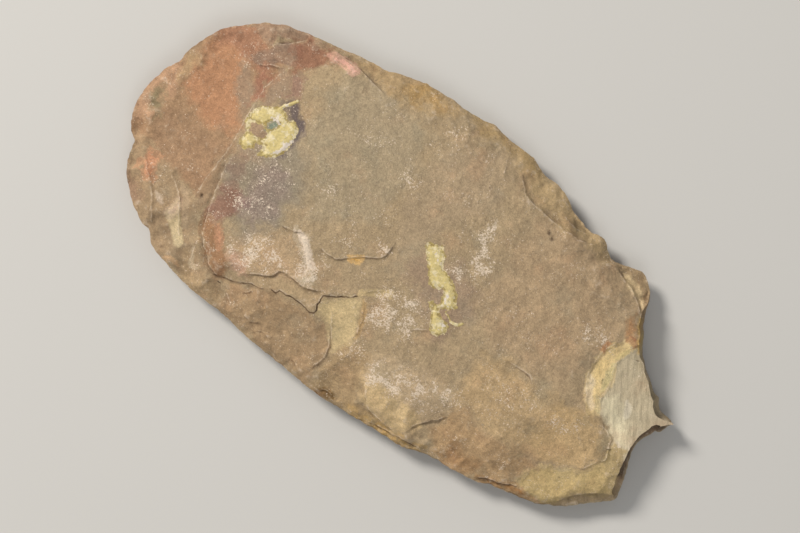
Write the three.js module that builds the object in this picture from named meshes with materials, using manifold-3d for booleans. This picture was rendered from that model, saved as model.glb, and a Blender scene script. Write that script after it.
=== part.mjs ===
// A flaked stone spade blade with its haft end broken off, lying on its flatter face.
// +X runs from the digging edge to the break, +Y across the blade and +Z up out of the worked face.
// It is made in the order a knapper works: a blank with a thick middle and a sharp rim, long flakes
// struck inwards from the rim, short retouch along the rim, and last the break.
// Lengths are millimetres and angles degrees, counted from +X towards +Y.
import * as THREE from 'three';
import { mergeVertices } from 'three/addons/utils/BufferGeometryUtils.js';
import Module from 'manifold-3d';

const wasm = await Module();
wasm.setup();

// Driving dimensions
const LENGTH = 313.5; // from the digging edge to the horn of the break
const WIDTH = 162;
const THICKNESS = 27; // at the thickest place
const RIM_HEIGHT = 11; // of the sharp rim over the ground
const RIM_SWAY = 1.1; // how far the rim wanders up and down
const REST_SHARE = 0.5; // how far out the flat resting place reaches, as a share of the blank
const BIT_THINNING = 0.26; // the share of its rise that the upper face loses at the digging edge
const NIBBLE_PITCH = 17; // from one retouch flake to the next along the rim
const NIBBLE_REACH = 9; // how far a retouch flake runs in
const NIBBLE_DEPTH = 0.7; // how far it bites into the outline
const RIM_SPACING = 6.2; // between the outline's corners
const STONE_COLOUR = 0xa5906f;
const SMOOTHING = 0.25; // how far the finished facets may lie from the cuts

// The blank's outline, as shares of the half length and half width, counter-clockwise from the
// middle of the digging edge. Past x = 0.95 it is the lost haft end, which the break takes off.
const OUTLINE = [
  [-1.0, -0.1], [-0.99, -0.26], [-0.925, -0.43], [-0.88, -0.617], [-0.81, -0.735], [-0.69, -0.864],
  [-0.51, -0.944], [-0.287, -0.97], [-0.013, -1.0], [0.19, -0.969], [0.42, -0.889], [0.62, -0.824],
  [0.765, -0.745], [0.86, -0.655], [0.935, -0.54], [1.015, -0.38], [1.11, -0.12], [1.13, 0.12],
  [1.06, 0.4], [0.92, 0.59], [0.76, 0.71], [0.625, 0.82], [0.53, 0.765], [0.459, 0.843],
  [0.38, 0.832], [0.255, 0.933], [0.128, 0.981], [-0.032, 1.0], [-0.242, 0.958], [-0.415, 0.862],
  [-0.625, 0.784], [-0.772, 0.704], [-0.88, 0.531], [-0.944, 0.333], [-0.98, 0.074],
];

// Flakes struck off the upper face. Each starts on the rim nearest to `blow` (shares of the half
// length and half width), runs towards `aim` for `reach` and is `breadth` wide (shares of the width).
const UPPER_FLAKES = [
  { name: 'wide digging-edge flake', blow: [-1.0, 0.06], aim: 2, reach: 0.31, breadth: 0.6 },
  { name: 'digging edge, upper corner', blow: [-0.93, 0.4], aim: -24, reach: 0.13, breadth: 0.2 },
  { name: 'upper shoulder of the bit', blow: [-0.84, 0.6], aim: -48, reach: 0.11, breadth: 0.2 },
  { name: 'upper side, beside the bit', blow: [-0.7, 0.75], aim: -68, reach: 0.1, breadth: 0.2 },
  { name: 'digging edge, lower corner', blow: [-0.96, -0.42], aim: 18, reach: 0.3, breadth: 0.2 },
  { name: 'lower shoulder of the bit', blow: [-0.85, -0.68], aim: 40, reach: 0.27, breadth: 0.2 },
  { name: 'cream strip', blow: [-0.7, -0.86], aim: 62, reach: 0.22, breadth: 0.18 },
  { name: 'under the raised lobe', blow: [-0.56, -0.93], aim: 82, reach: 0.14, breadth: 0.18 },
  { name: 'below the cracked layer', blow: [-0.4, -0.96], aim: 94, reach: 0.16, breadth: 0.2 },
  { name: 'wide lower flake', blow: [-0.17, -0.98], aim: 92, reach: 0.2, breadth: 0.34 },
  { name: 'yellow flake', blow: [-0.01, -1.0], aim: 104, reach: 0.32, breadth: 0.17 },
  { name: 'beside the speckled swell', blow: [0.08, -0.99], aim: 88, reach: 0.17, breadth: 0.16 },
  { name: 'foot of the speckled swell', blow: [0.27, -0.94], aim: 90, reach: 0.05, breadth: 0.22 },
  { name: 'shell-shaped lower flake', blow: [0.42, -0.89], aim: 106, reach: 0.19, breadth: 0.21 },
  { name: 'lower side, towards the haft', blow: [0.57, -0.84], aim: 92, reach: 0.1, breadth: 0.22 },
  { name: 'cracked lower edge', blow: [0.7, -0.78], aim: 100, reach: 0.08, breadth: 0.18 },
  { name: 'tan haft facet', blow: [0.83, -0.69], aim: 116, reach: 0.27, breadth: 0.27 },
  { name: 'upper haft shoulder', blow: [0.62, 0.79], aim: -104, reach: 0.13, breadth: 0.24 },
  { name: 'upper side, by the shoulder', blow: [0.42, 0.83], aim: -84, reach: 0.06, breadth: 0.11 },
  { name: 'upper side, low ridge', blow: [0.24, 0.93], aim: -70, reach: 0.11, breadth: 0.14 },
  { name: 'upper side, dark wedge', blow: [0.14, 0.98], aim: -58, reach: 0.13, breadth: 0.12 },
  { name: 'upper side, crown', blow: [-0.04, 1.0], aim: -92, reach: 0.07, breadth: 0.21 },
  { name: 'upper side, left of the crown', blow: [-0.19, 0.97], aim: -84, reach: 0.08, breadth: 0.15 },
  { name: 'ochre flake', blow: [-0.34, 0.92], aim: -80, reach: 0.1, breadth: 0.18 },
  { name: 'upper side, long edge flake', blow: [-0.5, 0.84], aim: -82, reach: 0.06, breadth: 0.18 },
];

// The two round bites and the thin flake of the break. `at` is each bite's deepest place on the upper
// face (shares of the half length and half width). It opens towards `facing`, its radius is a share
// of the width, and its wall leans out by `lean` degrees as it goes down.
const NOTCH = { at: [0.937, -0.1], facing: -3, radius: 0.195, lean: 11 };
const SLANT = { at: [0.832, 0.368], facing: 50, radius: 0.445, lean: -7 };
const HAFT_FLAKE = { blow: [1.04, 0.22], aim: 178, reach: 0.4, breadth: 0.34 };

// Flakes off the face that lies down, by number: it is hidden, so a rule lays them out.
const UNDER_FLAKE_COUNT = 18;
const UNDER_REACH = 0.23; // share of the width
const UNDER_BREADTH = 0.25;

// How the surface is laid out
const OVAL_STEPS = 72; // bearings at which the evened outline is known
const OVAL_SPREAD = [-21, -14, -7, 0, 7, 14, 21]; // degrees to each side
const EVEN_SHARE = 0.75; // of the outline: inside it the blank is an even oval
const UPPER_DEPTH = 0.12; // of the thickness: no upper flake lies deeper under the blank's face
const UNDER_DEPTH = 0.075; // the same on the lower face
const HOLLOW = 0.04; // of a flake's reach: how far its floor sags between its ends
const LIP = 1.3; // between a flake's floor and the rim, where the flake starts
const CORE = 0.5; // the least stone that the flakes of the two faces leave between them
const ROOM_SHARE = 1.5; // of the outline: how far out the flakes' own room reaches
const BOWL_RINGS = [0, 0.5, 0.88, 1.3, 1.8]; // of a flake's half breadth, where its bowl has rings
const UPPER_SIDES = 18; // corners round each bowl
const UNDER_SIDES = 12;
const NIBBLE_SIDES = 7;
const BITE_SIDES = 64;
const BREAK_TOP = 0.6; // of the thickness: the height at which the bites are placed
const BLANK_RINGS = [1, 0.97, 0.91, 0.82, 0.68, REST_SHARE, REST_SHARE / 2]; // shares of the outline

const UP = 1;
const DOWN = -1;

const { degToRad, smoothstep, lerp } = THREE.MathUtils;
const fromShares = ([x, y]) => new THREE.Vector2((x * LENGTH) / 2, (y * WIDTH) / 2);

// The blank's rim, with the shallow scallops that retouch leaves in it.
function rimPoints() {
  const corners = OUTLINE.map(fromShares).map(({ x, y }) => new THREE.Vector3(x, y, 0));
  const curve = new THREE.CatmullRomCurve3(corners, true, 'centripetal');
  const length = curve.getLength();
  const count = Math.round(length / RIM_SPACING);
  const bites = Math.round(length / NIBBLE_PITCH);
  return curve.getSpacedPoints(count).slice(0, count).map((point, i) => {
    const bite = Math.abs(Math.sin((Math.PI * bites * i) / count));
    return new THREE.Vector2(point.x, point.y).setLength(point.length() - NIBBLE_DEPTH * bite);
  });
}

const rim = rimPoints();

// The distance from the middle to the rim, towards `bearing` in radians.
function rimRadius(bearing) {
  const ray = new THREE.Vector2(Math.cos(bearing), Math.sin(bearing));
  for (let i = 0; i < rim.length; i += 1) {
    const start = rim[i];
    const side = rim[(i + 1) % rim.length].clone().sub(start);
    const cross = ray.cross(side);
    const out = start.cross(side) / cross;
    const along = start.cross(ray) / cross;
    if (out > 0 && Math.abs(along - 0.5) < 0.5 + 1e-6) return out;
  }
  throw new Error('the outline has to go once round the middle');
}

// The same distance evened out over the neighbouring bearings, for the middle of the blank.
const ovalRadii = Array.from({ length: OVAL_STEPS }, (_, i) => {
  const bearing = (2 * Math.PI * i) / OVAL_STEPS;
  const near = OVAL_SPREAD.map((turn) => rimRadius(bearing + degToRad(turn)));
  return near.reduce((sum, radius) => sum + radius, 0) / near.length;
});

function ovalRadius(bearing) {
  const place = ((bearing / (2 * Math.PI) + 1) % 1) * OVAL_STEPS;
  const before = Math.floor(place) % OVAL_STEPS;
  return lerp(ovalRadii[before], ovalRadii[(before + 1) % OVAL_STEPS], place % 1);
}

const rimHeight = (bearing) => RIM_HEIGHT + RIM_SWAY * Math.sin(5 * bearing) * Math.cos(2 * bearing + 1);

// The height of the blank's upper or lower face over a point.
function blankHeight(face, point) {
  const bearing = Math.atan2(point.y, point.x);
  const rimOut = rimRadius(bearing);
  const nearRim = smoothstep(point.length() / rimOut, EVEN_SHARE, 1);
  const out = lerp(ovalRadius(bearing), rimOut, nearRim);
  const share = Math.min(1, point.length() / out);
  const edge = rimHeight(bearing);
  const swell = (1 - share ** 3.2) ** 0.62;
  if (face === UP) {
    const thinning = BIT_THINNING * (1 - smoothstep(point.x, -LENGTH / 2, -LENGTH / 8));
    return edge + (THICKNESS - edge) * swell * (1 - thinning);
  }
  const flat = (1 - REST_SHARE ** 3.2) ** 0.62;
  return edge * (1 - Math.min(1, swell / flat));
}

// A closed geometry as a solid. What turns its faces inwards, such as a mirroring matrix, is undone.
function solid(geometry, matrix, insideOut = matrix.determinant() < 0) {
  const bare = geometry.clone().applyMatrix4(matrix);
  bare.deleteAttribute('normal');
  bare.deleteAttribute('uv');
  const merged = mergeVertices(bare, 1e-4);
  const triVerts = new Uint32Array(merged.index.array);
  if (insideOut) triVerts.reverse();
  return new wasm.Manifold(
    new wasm.Mesh({ numProp: 3, vertProperties: merged.attributes.position.array, triVerts }),
  );
}

// The blank: both faces are rings of the rim, drawn in to one point in the middle.
function blank() {
  const positions = [];
  const ring = (face, share) => rim.map((corner) => {
    const point = corner.clone().multiplyScalar(share);
    return [point.x, point.y, blankHeight(face, point)];
  });
  const band = (outer, inner) => outer.forEach((a, i) => {
    const next = (i + 1) % outer.length;
    positions.push(...a, ...outer[next], ...inner[next], ...a, ...inner[next], ...inner[i]);
  });
  [UP, DOWN].forEach((face) => {
    const rings = BLANK_RINGS.map((share) => ring(face, share));
    rings.push(rim.map(() => [0, 0, blankHeight(face, new THREE.Vector2())]));
    rings.slice(1).forEach((inner, i) => (face === UP ? band(rings[i], inner) : band(inner, rings[i])));
  });
  const geometry = new THREE.BufferGeometry();
  geometry.setAttribute('position', new THREE.Float32BufferAttribute(positions, 3));
  return solid(withoutSlivers(geometry), new THREE.Matrix4());
}

// Drops the triangles that have no area, where a ring has shrunk to the middle point.
function withoutSlivers(geometry) {
  const merged = mergeVertices(geometry, 1e-4);
  const kept = [];
  const corners = merged.index.array;
  for (let i = 0; i < corners.length; i += 3) {
    const [a, b, c] = corners.slice(i, i + 3);
    if (a !== b && b !== c && c !== a) kept.push(a, b, c);
  }
  merged.setIndex(kept);
  return merged;
}

// What one flake takes away: a shallow bowl whose floor runs from just over the rim at `start` up
// to the blank's face at `end`, and which is `breadth` wide where it cuts the face.
function flakeBowl({ face, start, end, breadth, sides }) {
  const deepest = THICKNESS * (face === UP ? UPPER_DEPTH : UNDER_DEPTH);
  const way = end.clone().sub(start);
  const half = way.length() / 2;
  const middle = start.clone().lerp(end, 0.5);
  const high = blankHeight(face, end);
  const hollow = 2 * half * HOLLOW;
  const lip = rimHeight(start.angle()) + face * LIP;
  const shallow = 2 * (blankHeight(face, middle) + face * (hollow - deepest)) - high;
  const low = face * Math.max(face * lip, face * shallow);
  const floor = (low + high) / 2 - face * hollow;
  const cut = Math.max(hollow, face * (blankHeight(face, middle) - floor));
  const profile = BOWL_RINGS.map((share) => new THREE.Vector2(share, share ** 2 * cut));
  const above = profile.at(-1).y + THICKNESS;
  profile.push(new THREE.Vector2(BOWL_RINGS.at(-1), above), new THREE.Vector2(0, above));
  const tilt = new THREE.Matrix4().set(
    1, 0, 0, 0,
    0, 1, 0, 0,
    (high - low) / (2 * half), 0, 1, 0,
    0, 0, 0, 1,
  );
  const placed = new THREE.Matrix4()
    .makeTranslation(middle.x, middle.y, floor)
    .multiply(new THREE.Matrix4().makeRotationZ(way.angle()))
    .multiply(tilt)
    .multiply(new THREE.Matrix4().makeScale(half * Math.sqrt(cut / hollow), breadth / 2, face))
    .multiply(new THREE.Matrix4().makeRotationX(Math.PI / 2));
  return solid(new THREE.LatheGeometry(profile, sides), placed);
}

// A flake named by where its blow fell and where it ran.
function flake(face, { blow, aim, reach, breadth }) {
  const struck = fromShares(blow);
  const start = struck.clone().setLength(rimRadius(struck.angle()));
  const way = new THREE.Vector2(reach * WIDTH, 0).rotateAround(new THREE.Vector2(), degToRad(aim));
  return flakeBowl({
    face, start, end: start.clone().add(way), breadth: breadth * WIDTH, sides: UPPER_SIDES,
  });
}

// Flakes off the hidden face, round the rim at even steps, long and short by turns.
function underFlakes() {
  return Array.from({ length: UNDER_FLAKE_COUNT }, (_, i) => {
    const bearing = (2 * Math.PI * (i + 0.25 * Math.sin(7 * i))) / UNDER_FLAKE_COUNT;
    const start = new THREE.Vector2(1, 0).rotateAround(new THREE.Vector2(), bearing);
    start.setLength(rimRadius(bearing));
    const reach = UNDER_REACH * WIDTH * (1 + 0.3 * Math.sin(2.4 * i));
    const towards = start.clone().setX(start.x * 0.55).negate().setLength(reach);
    const breadth = UNDER_BREADTH * WIDTH * (1 + 0.25 * Math.cos(1.7 * i));
    const end = start.clone().add(towards);
    return flakeBowl({ face: DOWN, start, end, breadth, sides: UNDER_SIDES });
  });
}

// Short flakes along the rim. Those of the two faces start at different places, which makes its zigzag.
function retouch(face) {
  const step = (2 * NIBBLE_PITCH) / RIM_SPACING;
  const count = Math.floor(rim.length / step);
  return Array.from({ length: count }, (_, i) => {
    const start = rim[Math.round((i + (face === UP ? 0.5 : 0)) * step) % rim.length];
    const reach = NIBBLE_REACH * (1 + 0.35 * Math.sin(2.1 * i));
    const end = start.clone().setLength(start.length() - reach);
    return flakeBowl({ face, start, end, breadth: NIBBLE_PITCH * 1.1, sides: NIBBLE_SIDES });
  });
}

// A round bite out of the haft end, whose wall leans out towards the lower face.
function bite({ at, facing, radius, lean }) {
  const size = radius * WIDTH;
  const slope = Math.tan(degToRad(lean));
  const sheared = new THREE.Matrix4().set(
    1, 0, -slope, 0,
    0, 1, 0, 0,
    0, 0, 1, 0,
    0, 0, 0, 1,
  );
  const deepest = fromShares(at);
  const placed = new THREE.Matrix4()
    .makeTranslation(deepest.x, deepest.y, BREAK_TOP * THICKNESS)
    .multiply(new THREE.Matrix4().makeRotationZ(degToRad(facing)))
    .multiply(sheared)
    .multiply(new THREE.Matrix4().makeTranslation(size, 0, 0))
    .multiply(new THREE.Matrix4().makeRotationX(Math.PI / 2));
  return solid(new THREE.CylinderGeometry(size, size, 3 * THICKNESS, BITE_SIDES), placed);
}

// The room on one side of the sheet that joins the middle to the rim. Flakes keep to their own side,
// so the two faces never meet inside the rim.
function sideOfRim(face) {
  const far = 3 * THICKNESS;
  const middle = [0, 0, RIM_HEIGHT + (face * CORE) / 2];
  const sheet = rim.map((corner) => {
    const height = rimHeight(corner.angle()) + (face * CORE) / 2;
    return [corner.x * ROOM_SHARE, corner.y * ROOM_SHARE, middle[2] + (height - middle[2]) * ROOM_SHARE];
  });
  const positions = [];
  sheet.forEach((a, i) => {
    const b = sheet[(i + 1) % sheet.length];
    const [topA, topB] = [a, b].map(([x, y]) => [x, y, face * far]);
    const faces = [...middle, ...b, ...a, ...a, ...b, ...topB, ...a, ...topB, ...topA];
    positions.push(...faces, 0, 0, face * far, ...topA, ...topB);
  });
  const geometry = new THREE.BufferGeometry();
  geometry.setAttribute('position', new THREE.Float32BufferAttribute(positions, 3));
  return solid(geometry, new THREE.Matrix4(), face === DOWN);
}

// All that is struck off one face, in one solid.
function struckOff(face, bowls) {
  return bowls.reduce((all, bowl) => all.add(bowl)).intersect(sideOfRim(face));
}

// The haft end past the break, which is gone.
function lostEnd() {
  const far = new THREE.Matrix4().makeTranslation(LENGTH * 1.03, 0, 0);
  return solid(new THREE.BoxGeometry(LENGTH, 2 * WIDTH, 4 * THICKNESS), far);
}

// The finished stone, with the middle of its box over the origin and its lowest point on the ground.
function bladeGeometry() {
  const upper = UPPER_FLAKES.map((item) => flake(UP, item));
  const cuts = [
    struckOff(UP, [...upper, flake(UP, HAFT_FLAKE), ...retouch(UP)]),
    struckOff(DOWN, [...underFlakes(), ...retouch(DOWN)]),
    bite(NOTCH),
    bite(SLANT),
    lostEnd(),
  ];
  const struck = cuts.reduce((stone, cut) => stone.subtract(cut), blank()).simplify(SMOOTHING);
  const { min, max } = struck.boundingBox();
  const centred = struck
    .translate([-(min[0] + max[0]) / 2, -(min[1] + max[1]) / 2, -min[2]])
    .scale([LENGTH / (max[0] - min[0]), WIDTH / (max[1] - min[1]), THICKNESS / (max[2] - min[2])]);
  const { vertProperties, triVerts } = centred.getMesh();
  const geometry = new THREE.BufferGeometry();
  geometry.setAttribute('position', new THREE.BufferAttribute(vertProperties, 3));
  geometry.setIndex(new THREE.BufferAttribute(triVerts, 1));
  geometry.computeVertexNormals();
  return geometry;
}

const stone = new THREE.MeshStandardMaterial({ color: STONE_COLOUR, roughness: 0.85, metalness: 0 });
const blade = new THREE.Mesh(bladeGeometry(), stone);
blade.name = 'blade';

const spade = new THREE.Group();
spade.add(blade);

export default spade;
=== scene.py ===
import functools
import math
import bpy
import numpy as np
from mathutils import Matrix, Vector, geometry


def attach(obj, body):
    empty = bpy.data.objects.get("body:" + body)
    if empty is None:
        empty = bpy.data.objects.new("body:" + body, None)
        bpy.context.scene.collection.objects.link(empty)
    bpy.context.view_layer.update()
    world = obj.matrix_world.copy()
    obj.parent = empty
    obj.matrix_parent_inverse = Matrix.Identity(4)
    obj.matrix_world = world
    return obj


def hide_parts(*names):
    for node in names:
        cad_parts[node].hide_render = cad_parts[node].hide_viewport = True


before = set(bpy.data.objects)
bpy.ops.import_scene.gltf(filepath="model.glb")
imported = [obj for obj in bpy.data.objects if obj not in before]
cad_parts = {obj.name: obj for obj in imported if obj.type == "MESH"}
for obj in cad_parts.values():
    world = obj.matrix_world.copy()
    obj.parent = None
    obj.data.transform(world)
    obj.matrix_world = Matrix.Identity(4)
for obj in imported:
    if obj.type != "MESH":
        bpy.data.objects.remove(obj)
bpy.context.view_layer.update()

mm = 0.001

# Everything on the stone is placed in millimetres, seen from above: x runs from the digging edge to
# the break, y across the blade.
spade = {
    "thickness": 27.0,
    "rimHeight": 11.0,
    "rimSway": 1.1,
    "restShare": 0.5,  # how far out the flat resting place reaches
    "bitThinning": 0.26,
    "upperDepth": 0.12,  # of the thickness: the deepest flake of the upper face
    "underDepth": 0.075,
    "domePower": 3.2,
    "domeRoot": 0.62,
    "hollow": 0.04,  # of a flake's reach: how far its floor sags
    "flakeBend": 0.22,  # how unevenly a flake's sides run
    "ripple": 0.04,
    "underFlakes": 18,
    "lip": 1.1,  # between a flake's floor and the rim
    "topSpacing": 0.92,  # between the mesh's points on the upper face
    "underSpacing": 1.7,
    "rimSpacing": 1.05,
    "dullEdge": 0.35,  # half the thickness of the worn rim
    "wallRows": 7,
    "seed": 11,
}

# The worked edge seen from above, clockwise from the lower haft corner: x, y and how far the upper
# face's border stands back from it.
workedEdge = [
    (156.4, -32.5, 3.2), (152, -37.5, 4.8), (145, -44, 5.4), (139, -50, 5), (134, -53.5, 2.6),
    (125, -58.5, 0.4), (113, -62, 0.8), (102, -64.5, 0.6), (97, -67, 0), (85, -69.5, 0), (66, -72, 0.5),
    (55, -76, 0.6), (40, -77.4, 0.6), (28, -78.6, 0.4), (10, -80.3, 0), (-2, -80.8, 0), (-14, -79.9, 0),
    (-25, -79.5, 0), (-35, -79.4, 0), (-45, -78.6, 0), (-56, -77.2, 0), (-65, -77, 0), (-80, -76.5, 0),
    (-95, -74, 0), (-102, -72.4, 0), (-108, -70, 0), (-112, -65.5, 0), (-117, -65, 0), (-122, -62.4, 0),
    (-128, -59, 0), (-138, -50, 0), (-142, -43.5, 0), (-144, -38, 0), (-145, -34, 0), (-148, -32.5, 0),
    (-152, -27.6, 0), (-155.3, -21, 0), (-156.2, -14, 0), (-156.6, -8, 0), (-155.4, -1, 0), (-153.5, 6, 0),
    (-151.2, 11, 0), (-150.3, 19, 0), (-147.6, 28, 0), (-144, 36, 0), (-140.2, 41, 0), (-135, 46, 0),
    (-128, 52.5, 0), (-124.5, 54.4, 0), (-120, 57.5, 0), (-112, 59.6, 0), (-104, 62, 0), (-97, 63.5, 0),
    (-88, 65.5, 0), (-77, 68.4, 0), (-65, 70, 0), (-59, 72.6, 0), (-52, 74.8, 0), (-46, 76.6, 0),
    (-40, 77.4, 0), (-30, 78.2, 0), (-20, 78.3, 0), (-12, 79.2, 0), (-5, 80.9, 0), (2, 79.8, 0),
    (10, 79.3, 0), (20, 79.4, 0), (25, 77.4, 0), (30, 76, 0), (38, 75.8, 0), (44, 74.2, 0), (50, 71.5, 0),
    (53, 69.6, 0), (60, 67.8, 0), (66, 67.2, 0), (72, 68.3, 0), (75.5, 66.8, 0), (79, 63.8, 0),
    (83, 62.1, 0), (91, 64.5, 0), (98, 66.4, 0), (102, 65.2, 0), (106, 62, 0), (110, 57, 0.8),
]
# The break: its slanted edge, its horn and its notch, on to the corner where the worked edge starts.
brokenEdge = [
    (113, 50, 3.2), (120, 39, 3.6), (124, 34, 3), (128, 30, 2), (135, 25.5, 2.4), (139.5, 22.2, 3),
    (143, 21.5, 4), (146.5, 17.6, 4), (149, 16.2, 3.4), (152.5, 15.8, 2), (155.2, 15.6, 0.8),
    (156.75, 14.4, 0.3), (155.6, 12.2, 1.6), (153.9, 7.6, 3.4), (152, 6.6, 3.8), (151, 4, 3.6),
    (149.2, 0, 3.2), (148.4, -4, 2.7), (148.7, -8, 2.9), (149.8, -12, 3.4), (151.2, -15, 4),
    (153, -19.5, 4.6), (154.3, -23, 5), (155.6, -28, 4.4),
]
# Where the edge ran before the haft end was lost. The face still curves towards it.
lostEdge = [(118, 59), (144, 47), (166, 32), (177, 10), (174, -10), (163, -28)]

# Flakes of the upper face: x and y of the blow, the way it ran in degrees, its reach and breadth.
upperFlakes = [
    (-156, 4, 2, 50, 97), (-147, 33, -24, 21, 32), (-132, 48, -48, 18, 32), (-110, 60, -68, 16, 32),
    (-150, -33, 18, 49, 32), (-134, -55, 40, 44, 32), (-109, -69, 62, 36, 29), (-88, -75, 82, 23, 29),
    (-63, -77, 94, 26, 32), (-27, -79, 92, 33, 56), (-2, -81, 104, 52, 28), (12, -80, 88, 28, 26),
    (42, -77, 90, 9, 36), (66, -72, 106, 31, 34), (89, -69, 92, 16, 36), (109, -63, 100, 13, 29),
    (130, -56, 116, 44, 44), (98, 66, -104, 21, 39), (66, 67, -84, 8, 18), (46, 75, -96, 16, 58),
    (-6, 81, -92, 11, 34), (-30, 78, -84, 13, 24), (-53, 75, -80, 16, 29), (-78, 68, -82, 10, 29),
    (163, 18, 178, 64, 54),
]

# Broad shallow planes of the upper face, laid out as the flakes are but from their middle.
broadPlanes = [
    (-38, 8, 40, 92, 60), (30, 36, 250, 90, 70), (66, -6, 200, 84, 58), (-60, 46, 300, 70, 40),
    (8, -30, 80, 60, 44),
]

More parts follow.
